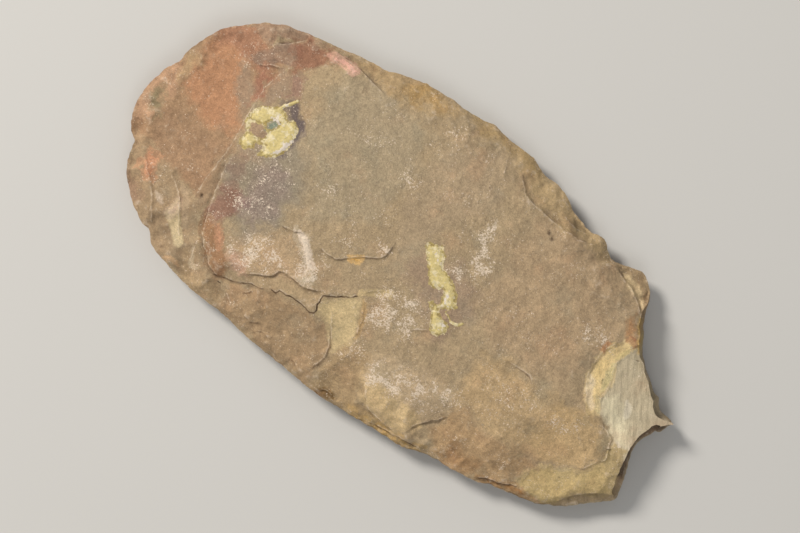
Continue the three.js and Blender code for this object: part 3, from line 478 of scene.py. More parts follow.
# The distance to a path, which side of it a place lies on, and how far along it the nearest spot is.
def toPath(x, y, path, closed=False):
    ends = list(path[1:]) + ([path[0]] if closed else [])
    best, right, along, run = np.full(x.shape, 1e9), np.zeros_like(x), np.zeros_like(x), 0.0
    for (ax, ay), (bx, by) in zip(path, ends):
        dx, dy = bx - ax, by - ay
        length = math.hypot(dx, dy)
        t = np.clip(((x - ax) * dx + (y - ay) * dy) / length**2, 0, 1)
        ex, ey = x - ax - t * dx, y - ay - t * dy
        away = np.hypot(ex, ey)
        near = away < best
        best, right, along = (np.where(near, new, old) for new, old in
                              ((away, best), (ex * dy - ey * dx, right), (run + t * length, along)))
        run += length
    return best, np.sign(right), along, run


def inside(x, y, border):
    hits = np.zeros(x.shape, bool)
    for (ax, ay), (bx, by) in zip(border, border[1:] + border[:1]):
        if ay != by:
            hits ^= ((ay > y) != (by > y)) & (x < (bx - ax) * (y - ay) / (by - ay) + ax)
    return hits


def nearBox(x, y, path, reach):
    xs, ys = zip(*path)
    return (x > min(xs) - reach) & (x < max(xs) + reach) & (y > min(ys) - reach) & (y < max(ys) + reach)


# How far inside a border each point lies, below 0 outside. Points further off than reach aren't
# measured, and a reach without decimals gives depths in whole millimetres.
def depthInside(x, y, border, reach):
    near = nearBox(x, y, border, reach)
    depth = np.full(x.shape, -reach)
    away = toPath(x[near], y[near], border, True)[0]
    depth[near] = np.where(inside(x[near], y[near], border), away, -away)
    return depth


# A closed or open curve through the given rows, with a point about every spacing.
def curveThrough(rows, spacing, closed=False):
    rows = np.array(rows, float)
    past = (rows[-1:], rows[:2]) if closed else ([2 * rows[0] - rows[1]], [2 * rows[-1] - rows[-2]])
    around = np.vstack([past[0], rows, past[1]])
    made = []
    for a, b, c, d in zip(around, around[1:], around[2:], around[3:]):
        count = max(1, round(float(np.hypot(*(c - b)[:2])) / spacing))
        slopeB, slopeC = 0.4 * (c - a), 0.4 * (d - b)
        for t in np.arange(count) / count:
            made.append(b * (1 + 2 * t) * (1 - t) ** 2 + slopeB * t * (1 - t) ** 2
                        + c * t * t * (3 - 2 * t) - slopeC * t * t * (1 - t))
    return np.array(made + ([] if closed else [rows[-1]]))


# The stone's edge, and the edge it had before it broke as a radius for each bearing.
edge = curveThrough((workedEdge + brokenEdge)[::-1], spade["rimSpacing"], True)
whole = curveThrough(asPath(workedEdge) + lostEdge, 1.0, True)
bearings = np.linspace(-math.pi, math.pi, 721)
angles = np.arctan2(whole[:, 1], whole[:, 0])
order = np.argsort(angles)
rimRadii = np.interp(bearings, angles[order], np.hypot(*whole[order].T), period=2 * math.pi)
ovalRadii = np.mean([np.interp(bearings + math.radians(turn), bearings, rimRadii, period=2 * math.pi)
                     for turn in range(-21, 22, 7)], axis=0)


def rimHeight(bearing):
    return spade["rimHeight"] + spade["rimSway"] * np.sin(5 * bearing) * np.cos(2 * bearing + 1)


def dome(share):
    return (1 - share ** spade["domePower"]) ** spade["domeRoot"]


# The height of the stone before it was flaked. Face is 1 for the upper face and -1 for the other.
def blankHeight(face, x, y):
    bearing, out = np.arctan2(y, x), np.hypot(x, y)
    rim = np.interp(bearing, bearings, rimRadii)
    even = smooth(out / rim, 0.75, 1)
    share = np.minimum(1, out / (np.interp(bearing, bearings, ovalRadii) * (1 - even) + rim * even))
    low = rimHeight(bearing)
    if face > 0:
        thin = spade["bitThinning"] * (1 - smooth(x, -156, -39))
        return low + (spade["thickness"] - low) * dome(share) * (1 - thin)
    return low * (1 - np.minimum(1, dome(share) / dome(spade["restShare"])))


# Where a point lies in a flake's own directions, from the flake's middle.
def flakePlace(x, y, middleX, middleY, turn):
    dx, dy, cosine, sine = x - middleX, y - middleY, math.cos(turn), math.sin(turn)
    return dx * cosine + dy * sine, dy * cosine - dx * sine


# The floor that one flake left, with the ripples that spread from the blow.
def flakeFloor(face, x, y, blow, seed):
    bx, by, aim, reach, breadth = blow
    turn, half = math.radians(aim), reach / 2
    way = np.array([math.cos(turn), math.sin(turn)])
    middle, end = np.array([bx, by]) + way * half, np.array([bx, by]) + way * reach
    u, v = flakePlace(x, y, *middle, turn)
    high, mid = (float(blankHeight(face, *np.array(place)[:, None])[0]) for place in (end, middle))
    sag = reach * spade["hollow"]
    deepest = spade["thickness"] * spade["upperDepth" if face > 0 else "underDepth"]
    lip = float(rimHeight(math.atan2(by, bx))) + face * spade["lip"]
    low = face * max(face * lip, face * (2 * (mid + face * (sag - deepest)) - high))
    floor = (low + high) / 2 - face * sag
    cut = max(sag, face * (mid - floor))
    bent = 1 + spade["flakeBend"] * noise(x, y, 14, seed + 5)
    bowl = sag * (u / half) ** 2 + cut * (v / (breadth / 2) * bent) ** 2
    away = np.hypot(x - bx, y - by) + 1.2 * noise(x, y, 9, seed)
    ripple = spade["ripple"] * np.sin(away * 2 * math.pi / (3.4 + reach * 0.03))
    return floor + (high - low) / reach * u + face * (bowl + ripple * np.clip(reach / 25, 0.4, 1.2))


farOff = 6.0  # beyond this many millimetres nothing looks at the distance to a step


# All that the steps do to the upper face: how much they lower it, how near the crevices and the lit high
# sides are, and how dark the painted shade in the crevices is.
def stepRelief(x, y):
    drop, strength = np.zeros_like(x), np.zeros_like(x)
    crevice, light = np.full(x.shape, farOff), np.full(x.shape, farOff)
    wx, wy = pushed(x, y, 0.5, 4, (71, 83))
    for path, fall, fade, dark in steps.values():
        path = asPath(curveThrough(path, 1.5))
        near = nearBox(x, y, path, 3 * fade)
        away, right, along, length = toPath(wx[near], wy[near], path)
        fadeOut = min(2.5 if dark > 0.7 else 7, length / 3)
        tips = smooth(along, 0, fadeOut) * smooth(length - along, 0, fadeOut)
        tips = np.where((along <= 0) | (along >= length), 0, tips)
        lower = np.where(right > 0, smooth(away, 0, 0.9) * np.exp(-away / fade), 0)
        drop[near] += fall * tips * lower * (1 + 0.35 * noise(along, along * 0, 9, 73))
        light[near] = np.minimum(light[near], np.where(right <= 0, away, farOff) + 3 * (1 - tips))
        if dark:
            inCrevice = np.abs(away * right - 0.2) + 0.9 * (1 - tips)
            nearest = inCrevice < crevice[near]
            crevice[near] = np.where(nearest, inCrevice, crevice[near])
            uneven = np.clip(0.62 + 1.1 * noise(along, along * 0, 7, 77, 2), 0.1, 1)
            strength[near] = np.where(nearest, dark * np.maximum(uneven, dark - 0.3), strength[near])
    return drop, crevice, light, strength


def residueDepth(x, y):
    reach = 4
    wx, wy = pushed(x, y, 0.45, 3, (91, 97))
    depth = np.max([depthInside(wx, wy, border, reach) for border in residue], axis=0)
    for hole in residueHoles:
        depth = np.minimum(depth, -depthInside(wx, wy, hole, reach))
    for path, half in residueStreaks:
        depth = np.maximum(depth, half - toPath(wx, wy, path)[0])
    return np.clip(depth, -reach, reach)


def freshShare(x, y):
    return smooth(depthInside(x, y, paint["grey flake"][3], 6), -0.8, 0.8)


# Heights in millimetres of what breaks up the upper face.
relief = {
    "lift": -0.35,
    "swell": 0.55,
    "smallSwell": 0.3,
    "planeDepth": 0.9,
    "planeRise": 1.1,  # from a broad plane's middle to its border
    "planeRipple": 0.06,
    "bigScoops": (12, 0.6, 33),  # size, depth and seed
    "smallScoops": (5, 0.28, 34),
    "rimScoops": (4.2, 0.4, 36),
    "rimScoopShare": 0.3,
    "grain": 0.07,
    "fibres": 0.1,
    "residue": 0.5,
    "residueSway": 0.2,
    "crevice": 0.28,
}


# The upper face: its height, and what else is known about each place.
def upperFace(x, y):
    blank = blankHeight(1, x, y)
    height = blank + relief["lift"]
    height += relief["swell"] * noise(x, y, 62, 5) + relief["smallSwell"] * noise(x, y, 24, 9)
    for bx, by, aim, reach, breadth in broadPlanes:
        u, v = flakePlace(x, y, bx, by, math.radians(aim))
        rise = relief["planeRise"] * ((2 * u / reach) ** 2 + (2 * v / breadth) ** 2)
        ripple = relief["planeRipple"] * np.sin(np.hypot(u + reach / 2, v) * 1.1)
        height = np.minimum(height, blank - relief["planeDepth"] + rise + ripple)
    for number, blow in enumerate(upperFlakes):
        height = np.minimum(height, flakeFloor(1, x, y, blow, 100 + number))
    drop, crevice, light, strength = stepRelief(x, y)
    crust = residueDepth(x, y)
    margin = toPath(x, y, asPath(edge[::4]), True)[0]
    nearRim = 0.9 * smooth(margin, 32, 12) + 0.55 * smooth(margin, 14, 4)
    broken = np.clip(0.22 + nearRim + 0.4 * noise(x, y, 30, 29), 0.1, 1.7)
    wx, wy = pushed(x, y, 2.5, 13, (25, 26))
    rough = broken * (scoops(wx, wy, *relief["bigScoops"]) + scoops(wx + 5, wy, *relief["smallScoops"]))
    rough += relief["grain"] * noise(x, y, 3, 27, 2)
    rough += relief["rimScoopShare"] * smooth(margin, 20, 5) * scoops(wx, wy + 3, *relief["rimScoops"])
    fresh = freshShare(x, y)
    lines = np.sin(1.9 * (0.8 * x + 0.6 * y) + 2.6 * noise(x, y, 9, 35)) * (1 + noise(x, y, 11, 37))
    rough = rough * smooth(margin, -0.5, 3) * (1 - 0.7 * fresh) + relief["fibres"] * lines * fresh
    coat = (relief["residue"] + relief["residueSway"] * noise(x, y, 4, 39, 2)) * smooth(crust, -0.1, 0.8)
    height += rough * (1 - 0.5 * smooth(crust, 0, 1)) + coat - drop
    height -= relief["crevice"] * strength * np.clip(1 - crevice / 0.6, 0, 1)
    return height, crevice, strength, crust, light


# The hidden face: flakes by rule all round, on a flat spot that the stone lies on.
def underFace(x, y):
    height = blankHeight(-1, x, y)
    count, width = spade["underFlakes"], 162
    for number in range(count):
        bearing = 2 * math.pi * (number + 0.25 * math.sin(7 * number)) / count
        out = float(np.interp(math.remainder(bearing, 2 * math.pi), bearings, rimRadii))
        bx, by = out * math.cos(bearing), out * math.sin(bearing)
        aim = math.degrees(math.atan2(-by, -0.55 * bx))
        reach = 0.23 * width * (1 + 0.3 * math.sin(2.4 * number))
        breadth = 0.25 * width * (1 + 0.25 * math.cos(1.7 * number))
        height = np.maximum(height, flakeFloor(-1, x, y, (bx, by, aim, reach, breadth), 300 + number))
    grain = (0.35 * noise(x, y, 26, 41, 2) + 0.10 * noise(x, y, 7, 43, 2)) * smooth(height, 0.2, 2)
    return np.maximum(0, height + grain + 0.12 * smooth(noise(x, y, 9, 47, 2), 0.1, 0.7))


def linear(colour):
    shares = np.asarray(colour, float) / 255
    return np.where(shares <= 0.04045, shares / 12.92, ((shares + 0.055) / 1.055) ** 2.4)


# The colour of each point of the upper face, from the painted zones.
def upperColour(x, y):
    wx, wy = pushed(x, y, 3.4, 12, (51, 57), 4, 0.66)
    colour = np.tile(linear(surface["plain"]), (len(x), 1))
    for shade, strength, soft, border in paint.values():
        share = min(1, soft / 4)
        depth = depthInside(x + share * (wx - x), y + share * (wy - y), border, soft + 3)
        mask = strength * smooth(depth, -0.38 * soft, 0.38 * soft)
        colour += mask[:, None] * (linear(shade) - colour)
    blotchy = 0.03 + 0.07 * smooth(x, 0, 50) + 0.05 * smooth(y, -42, -60) * smooth(x, -110, -90)
    return colour * (1 + blotchy * noise(x, y, 11, 53, 4, 0.75))[:, None]


def crustShare(x, y):
    wx, wy = pushed(x, y, 3.6, 9, (61, 67), 3, 0.6)
    share = 0.2 + 0.22 * noise(x, y, 15, 63, 3, 0.6)
    for strength, border in whiteCrust:
        share = np.maximum(share, 0.95 * strength**0.7 * smooth(depthInside(wx, wy, border, 8), -5, 3.5))
    return np.clip(share * (0.9 + 0.6 * noise(x, y, 6, 65, 2, 0.7)), 0, 1)


# Triangles that fill a closed loop, with a point about every spacing and rows along the given paths.
def fillLoop(loop, spacing, paths):
    low, high = loop.min(0), loop.max(0)
    spots = []
    for i, row in enumerate(np.arange(low[1], high[1], spacing * 0.87)):
        columns = np.arange(low[0] + spacing / 2 * (i % 2), high[0], spacing)
        spots.append(np.column_stack([columns, np.full(len(columns), row)]))
    spots = np.concatenate(spots)
    spots += np.random.default_rng(spade["seed"]).uniform(-0.12, 0.12, spots.shape) * spacing
    border, reach = asPath(loop), 20
    kept = spots[depthInside(*spots.T, border, reach) > 0.55 * spacing]
    extra = [np.zeros((0, 2))]
    for path in paths:
        fine = curveThrough(path, spacing * 0.6)
        way = np.gradient(fine, axis=0)
        across = np.column_stack([way[:, 1], -way[:, 0]]) / np.hypot(*way.T)[:, None]
        kept = kept[toPath(*kept.T, asPath(fine))[0] > 1.05 * spacing]
        extra += [fine + across * shift for shift in (-0.75, -0.2, 0.2, 0.75)]
    extra = np.concatenate(extra)
    if len(extra):
        extra = extra[depthInside(*extra.T, border, reach) > 0.5 * spacing]
    spots = [Vector(row) for row in np.vstack([loop, kept, extra]).tolist()]
    sides = [(i, (i + 1) % len(loop)) for i in range(len(loop))]
    made = geometry.delaunay_2d_cdt(spots, sides, [], 1, 1e-5)
    first = {old: new for new, olds in enumerate(made[3]) for old in olds}
    where = np.array([list(spot) for spot in made[0]])
    return where, np.array(made[2]), [first[i] for i in range(len(loop))]


# The stone's points in millimetres, its triangles, and what is known about each point.
def bladeMesh():
    back = edge[:, 2]
    run = np.arange(len(edge)) * spade["rimSpacing"]
    way = np.roll(edge, -1, 0)[:, :2] - np.roll(edge, 1, 0)[:, :2]
    way /= np.hypot(*way.T)[:, None]
    inward = np.column_stack([-way[:, 1], way[:, 0]])
    ragged = 0.42 * noise(run, run * 0, 7, 15, 3, 0.6) + 0.2 * noise(run, run * 0, 2.4, 17)
    lower = edge[:, :2] + inward * ragged[:, None]
    stepBack = np.clip(back + 0.35 * noise(run, run * 0, 5, 19, 2) * (back > 0.3), 0, None)
    upper = lower + inward * stepBack[:, None]
    paths = [path for path, *_ in steps.values()]
    topSpots, topFaces, topLoop = fillLoop(upper, spade["topSpacing"], paths)
    lowSpots, lowFaces, lowLoop = fillLoop(lower, spade["underSpacing"], [])
    print("triangles laid out:", len(topFaces), "above and", len(lowFaces), "below")
    topHeights, crevice, strength, crust, light = upperFace(*topSpots.T)
    lowHeights = underFace(*lowSpots.T)
    rim = lowHeights[lowLoop]
    top = np.maximum(topHeights[topLoop], rim + 2 * spade["dullEdge"])
    topHeights[topLoop] = top
    rows, count, around = spade["wallRows"], len(topSpots), len(edge)
    layers = [np.column_stack([topSpots, topHeights])]
    for share in np.arange(1, rows) / rows:
        heights = top + (rim - top) * share
        chip = np.minimum(1, (top - rim) / 4) * math.sin(math.pi * share)
        chip *= 1.0 + 2.2 * scoops(run, heights * 1.4, 8, 0.5, 24)
        layers.append(np.column_stack([upper + (lower - upper) * share + inward * chip[:, None], heights]))
    points = np.vstack(layers + [np.column_stack([lowSpots, lowHeights])])
    lowStart = count + around * (rows - 1)
    rings = [np.array(topLoop)] + [count + np.arange(around) + around * i for i in range(rows - 1)]
    rings.append(np.array(lowLoop) + lowStart)
    faces = [tuple(face) for face in topFaces] + [tuple(reversed(face)) for face in lowFaces + lowStart]
    for over, under in zip(rings, rings[1:]):
        for i in range(around):
            j = (i + 1) % around
            faces += [(over[i], under[i], under[j]), (over[i], under[j], over[j])]
    faceOf = [np.ones(count), np.zeros(around * (rows - 1)), -np.ones(len(lowSpots))]
    known = {"face": np.concatenate(faceOf)}
    for name, values, elsewhere in (("crevice", crevice, farOff), ("seam", strength, 0.0),
                                    ("residue", crust, -4.0), ("lit", light, farOff)):
        known[name] = np.concatenate([values, np.full(len(points) - count, elsewhere)])
    return points, faces, known


# Colours of what the painted zones leave out: the plain stone, the hidden face and the walls, with painted
# shade on the notch's wall.
surface = {
    "plain": (175, 151, 117),
    "hidden": (163, 140, 111),
    "hiddenRed": (176, 136, 106),
    "hiddenBreak": (180, 163, 132),
    "notchWallShade": (74, 54, 36),
    "rimWall": (116, 96, 64),
    "notch": [(142, 12), (158, 14), (160, -24), (146, -24)],
    "notchShadeBorder": [(142, 12), (158, 13.6), (160, -24), (146, -24)],
    "char": [(-99, 2), (-84, 4), (-74, 4), (-62, -6), (-61, -22), (-70, -38), (-84, -42), (-97, -30)],
}


# The colour of every point, with the crust, the fresh stone and the char that the material reads.
def dress(points, known):
    x, y, face = points[:, 0], points[:, 1], known["face"]
    onTop, onWall = face > 0, face == 0
    hidden = linear(surface["hidden"]) * (1 + 0.12 * noise(x, y, 30, 201, 3))[:, None]
    reddened = smooth(-x + 22 * noise(x, y, 46, 203, 3, 0.6), 88, 126)
    hidden += reddened[:, None] * (linear(surface["hiddenRed"]) - hidden)
    broken = smooth(x + 6 * noise(x, y, 12, 207, 2), 118, 136)
    hidden += 0.7 * broken[:, None] * (linear(surface["hiddenBreak"]) - hidden)
    colour = np.where((onTop | onWall)[:, None], upperColour(x, y), hidden)
    inNotch = onWall & (depthInside(x, y, surface["notch"], 6) > -1)
    # Painted shade: the deep part of the notch's wall is darkened to stand for the shadow that lies in it.
    deep = smooth(depthInside(x, y, surface["notchShadeBorder"], 6), -1, 2) * inNotch
    colour += 0.85 * deep[:, None] * (linear(surface["notchWallShade"]) - colour)
    colour += 0.35 * (onWall & ~inNotch)[:, None] * (linear(surface["rimWall"]) - colour)
    known["crust"] = np.where(onTop, crustShare(x, y), 0.16)
    known["fresh"] = np.where(onWall & (x > 112), 0.8, np.where(face >= 0, freshShare(x, y), 0))
    wx, wy = pushed(x, y, 0.8, 4, (211, 213))
    depths = [depthInside(wx, wy, border, 4) for border in residueWhite]
    known["white"] = np.max([smooth(depth, -0.8, 0.8) for depth in depths], axis=0)
    known["char"] = np.where(onTop, smooth(depthInside(x, y, surface["char"], 12), -5, 8), 0)
    away = toPath(x, y, asPath(curveThrough(asPath(workedEdge), 2.5)))[0]
    calmer = (1 - 0.6 * known["fresh"]) * (1 - 0.6 * smooth(known["residue"], 0, 0.6))
    rough = smooth(away, 0.2, 2.0) * calmer
    known["rough"] = np.where(onWall | ((face < 0) & (points[:, 2] < 1.2)), 0.0, rough)
    known["rimRoom"] = np.where(onWall, 0, smooth(away, 0.3, 2.4))
    return np.clip(colour, 0, 1)


def addBlade():
    points, faces, known = bladeMesh()
    colour = dress(points, known)
    print("surface worked out:", len(points), "points,", len(faces), "triangles")
    mesh = bpy.data.meshes.new("blade")
    mesh.from_pydata((points * mm).tolist(), [], faces)
    mesh.polygons.foreach_set("use_smooth", [True] * len(mesh.polygons))
    for name, values in known.items():
        mesh.attributes.new(name, "FLOAT", "POINT").data.foreach_set("value", values.astype(np.float32))
    tint = mesh.attributes.new("stoneColour", "FLOAT_COLOR", "POINT")
    values = np.column_stack([colour, np.ones(len(colour))])
    tint.data.foreach_set("color", values.astype(np.float32).ravel())
    mesh.update()
    mesh.set_sharp_from_angle(angle=math.radians(38))
    made = bpy.data.objects.new("flaked_blade", mesh)
    bpy.context.scene.collection.objects.link(made)
    return made


blade = addBlade()


def feed(tree, socket, value):
    if isinstance(value, bpy.types.NodeSocket):
        tree.links.new(value, socket)
    else:
        socket.default_value = value


# A node with its settings and inputs. An input goes by its name, or by its number as i0 or i1.
def addNode(tree, kind, settings=None, **inputs):
    made = tree.nodes.new(kind)
    for name, value in (settings or {}).items():
        setattr(made, name, value)
    for name, value in inputs.items():
        feed(tree, made.inputs[int(name[1:]) if name[1:].isdigit() else name.replace("_", " ")], value)
    return made


def reckon(tree, operation, *values, clamp=False):
    made = addNode(tree, "ShaderNodeMath", {"operation": operation, "use_clamp": clamp})
    for socket, value in zip(made.inputs, values):
        feed(tree, socket, value)
    return made.outputs[0]


def ramp(tree, value, low, high, under=0.0, over=1.0):
    return addNode(tree, "ShaderNodeMapRange", {"interpolation_type": "SMOOTHSTEP"}, Value=value,
                   From_Min=low, From_Max=high, To_Min=under, To_Max=over).outputs["Result"]


def cloud(tree, place, scale, detail, roughness):
    return addNode(tree, "ShaderNodeTexNoise", Vector=place, Scale=scale, Detail=detail,
                   Roughness=roughness).outputs["Fac"]


def newGroup(name, kind, inputs, outputs):
    tree = bpy.data.node_groups.new(name, kind)
    for title, socketKind, *value in inputs:
        socket = tree.interface.new_socket(title, in_out="INPUT", socket_type="NodeSocket" + socketKind)
        if value:
            socket.default_value = value[0]
    for title, socketKind in outputs:
        tree.interface.new_socket(title, in_out="OUTPUT", socket_type="NodeSocket" + socketKind)
    return tree, tree.nodes.new("NodeGroupInput").outputs, tree.nodes.new("NodeGroupOutput").inputs


def layOut(tree):
    depth = {node: 0 for node in tree.nodes}
    for _ in tree.nodes:
        for link in tree.links:
            depth[link.from_node] = max(depth[link.from_node], depth[link.to_node] + 1)
    rows = {}
    for node in tree.nodes:
        rows[depth[node]] = rows.get(depth[node], 0) + 1
        node.location = (-230 * depth[node], -260 * rows[depth[node]])


def finishGroup(tree, result, value):
    tree.links.new(value, result[0])
    layOut(tree)
    return tree


# Short retouch flakes all along the rim, and the grain of the weathered surface.
def knapGroup():
    tree, given, result = newGroup("rimFlakesAndGrain", "GeometryNodeTree", [
        ("Geometry", "Geometry"), ("Rim", "Object"), ("Pitch", "Float", 0.008), ("Reach", "Float", 0.006),
        ("Depth", "Float", 0.0009), ("Grain height", "Float", 0.00016), ("Pit depth", "Float", 0.00025),
        ("Seed", "Int", 3), ("Stone", "Material")], [("Geometry", "Geometry")])

    def known(name):
        made = addNode(tree, "GeometryNodeInputNamedAttribute", {"data_type": "FLOAT"}, Name=name)
        return made.outputs[0]

    def times(*values):
        return functools.reduce(lambda a, b: reckon(tree, "MULTIPLY", a, b), values)

    path = addNode(tree, "GeometryNodeObjectInfo", {"transform_space": "RELATIVE"}, Object=given["Rim"])
    blows = addNode(tree, "GeometryNodeResampleCurve", {"mode": "LENGTH"},
                    Curve=path.outputs["Geometry"], Length=given["Pitch"])
    dots = addNode(tree, "GeometryNodeCurveToPoints", {"mode": "EVALUATED"}, Curve=blows.outputs[0])
    spread = addNode(tree, "FunctionNodeRandomValue", {"data_type": "FLOAT_VECTOR"},
                     i0=(-0.003, -0.003, -0.001), i1=(0.003, 0.003, 0.001), Seed=given["Seed"])
    moved = addNode(tree, "GeometryNodeSetPosition", Geometry=dots.outputs["Points"],
                    Offset=spread.outputs[0])
    reached = addNode(tree, "GeometryNodeProximity", {"target_element": "POINTS"}, i0=moved.outputs[0])
    near = reckon(tree, "DIVIDE", reached.outputs["Distance"], given["Reach"])
    scoop = reckon(tree, "SUBTRACT", 1.0, reckon(tree, "POWER", near, 1.6, clamp=True), clamp=True)
    place = addNode(tree, "GeometryNodeInputPosition").outputs[0]
    rough = known("rough")
    grain = reckon(tree, "SUBTRACT", cloud(tree, place, 420.0, 4.0, 0.62), 0.5)
    cells = addNode(tree, "ShaderNodeTexVoronoi", {"feature": "F1"}, Vector=place, Scale=210.0)
    pit = ramp(tree, cells.outputs["Distance"], 0.05, 0.3, 1.0, 0.0)
    few = addNode(tree, "FunctionNodeSeparateColor", Color=cells.outputs["Color"]).outputs[0]
    pits = times(pit, reckon(tree, "GREATER_THAN", few, 0.8), rough, given["Pit depth"])
    lowered = reckon(tree, "ADD", times(scoop, known("rimRoom"), given["Depth"]), pits)
    raised = reckon(tree, "SUBTRACT", times(grain, rough, given["Grain height"]), lowered)
    offset = addNode(tree, "ShaderNodeCombineXYZ", Z=times(raised, known("face")))
    shaped = addNode(tree, "GeometryNodeSetPosition", Geometry=given["Geometry"],
                     Offset=offset.outputs[0])
    after = addNode(tree, "GeometryNodeInputPosition").outputs[0]
    blurred = addNode(tree, "GeometryNodeBlurAttribute", {"data_type": "FLOAT_VECTOR"}, Value=after,
                      Iterations=9).outputs[0]
    sunk = addNode(tree, "ShaderNodeVectorMath", {"operation": "SUBTRACT"}, i0=blurred, i1=after)
    outward = addNode(tree, "GeometryNodeInputNormal")
    hollow = addNode(tree, "ShaderNodeVectorMath", {"operation": "DOT_PRODUCT"}, i0=sunk.outputs[0],
                     i1=outward.outputs[0])
    kept = addNode(tree, "GeometryNodeStoreNamedAttribute", {"data_type": "FLOAT", "domain": "POINT"},
                   Geometry=shaped.outputs[0], Name="hollow", Value=hollow.outputs["Value"])
    real = addNode(tree, "GeometryNodeRealizeInstances", Geometry=kept.outputs[0])
    coated = addNode(tree, "GeometryNodeSetMaterial", Geometry=real.outputs[0], Material=given["Stone"])
    return finishGroup(tree, result, coated.outputs[0])


# A mask of scattered specks: more of them as Amount grows.
def speckGroup():
    tree, given, result = newGroup("specks", "ShaderNodeTree", [
        ("Vector", "Vector"), ("Scale", "Float", 900.0), ("Amount", "Float", 0.3),
        ("Softness", "Float", 0.06)], [("Mask", "Float")])
    fall = reckon(tree, "MULTIPLY_ADD", given["Amount"], -0.3, 0.74)
    top = reckon(tree, "ADD", fall, given["Softness"])
    dots = cloud(tree, given["Vector"], given["Scale"], 3.0, 0.65)
    return finishGroup(tree, result, ramp(tree, dots, fall, top))


# A mask from a distance in millimetres, with a ragged border.
def raggedGroup():
    tree, given, result = newGroup("raggedBorder", "ShaderNodeTree", [
        ("Vector", "Vector"), ("Distance", "Float", 0.0), ("From", "Float", 0.0), ("To", "Float", 1.0),
        ("Ragged", "Float", 0.3), ("Scale", "Float", 700.0)], [("Mask", "Float")])
    shift = reckon(tree, "SUBTRACT", cloud(tree, given["Vector"], given["Scale"], 3.0, 0.6), 0.5)
    moved = reckon(tree, "MULTIPLY_ADD", shift, given["Ragged"], given["Distance"])
    return finishGroup(tree, result, ramp(tree, moved, given["From"], given["To"]))


# A colour made lighter and darker in patches of one size.
def mottleGroup():
    tree, given, result = newGroup("mottle", "ShaderNodeTree", [
        ("Vector", "Vector"), ("Color", "Color"), ("Scale", "Float", 100.0), ("Strength", "Float", 0.2),
    ], [("Color", "Color")])
    shift = reckon(tree, "SUBTRACT", cloud(tree, given["Vector"], given["Scale"], 4.0, 0.62), 0.5)
    gain = reckon(tree, "MULTIPLY_ADD", shift, given["Strength"], 1.0)
    scaled = addNode(tree, "ShaderNodeVectorMath", {"operation": "SCALE"}, i0=given["Color"], Scale=gain)
    return finishGroup(tree, result, scaled.outputs[0])


specks, ragged, mottle = speckGroup(), raggedGroup(), mottleGroup()

# Scales are per metre. Specks: scale, amount and softness. Borders: from, to, raggedness and scale.
stoneLooks = {
    "mottleScales": [(34.0, 0.24), (120.0, 0.55), (430.0, 0.6), (1100.0, 0.8)],  # and how strong
    "white": (236, 215, 190),
    "darkSpeck": (92, 74, 58),
    # the colour of the painted shade in crevices and hollows
    "crevice": (72, 48, 30),
    "residue": (218, 197, 134),
    "residueOliveAndShade": (168, 146, 88),
    "residuePale": (232, 215, 172),
    "residueWhite": (234, 220, 206),
    "warm": (186, 140, 104),
    "cool": (150, 146, 124),
    "hue": (58.0, 5.0, 0.6),  # scale, detail and roughness of the warm and cool patches
    "grit": 0.16,
    "charSpecks": (1150.0, 0.9, 0.2, 0.4),  # the last number is how strong
    "darkSpecks": (1000.0, 0.36, 0.06, 0.4),
    "whiteFilm": (820.0, 0.92, 0.08, 0.54),
    "whitePoints": (1250.0, 0.7, 0.06, 0.88),
    "litRidge": (0.9, 0.1, 2.4, 400.0),
    "hollowShade": (0.00004, 0.0005, 0.24),  # depths in metres, and how strong
    "ridgeWearAndHighlight": (-0.00002, -0.00026, 0.36),
    "creviceShadeLine": (0.56, 0.14, 0.4, 700.0),
    "residueCoat": (-0.12, 0.02, 0.3, 900.0),
    "residueHeart": (-0.15, 0.45, 1.6, 420.0),
    "fibreTurn": 36.9,
    "fibreLength": 9.0,
    "bump": 0.95,
    "bumpHeight": 0.0006,
    "roughness": 0.82,
    "freshRoughness": 0.6,
    "specular": 0.28,
}


def rgba(colour):
    return (*linear(colour), 1.0)


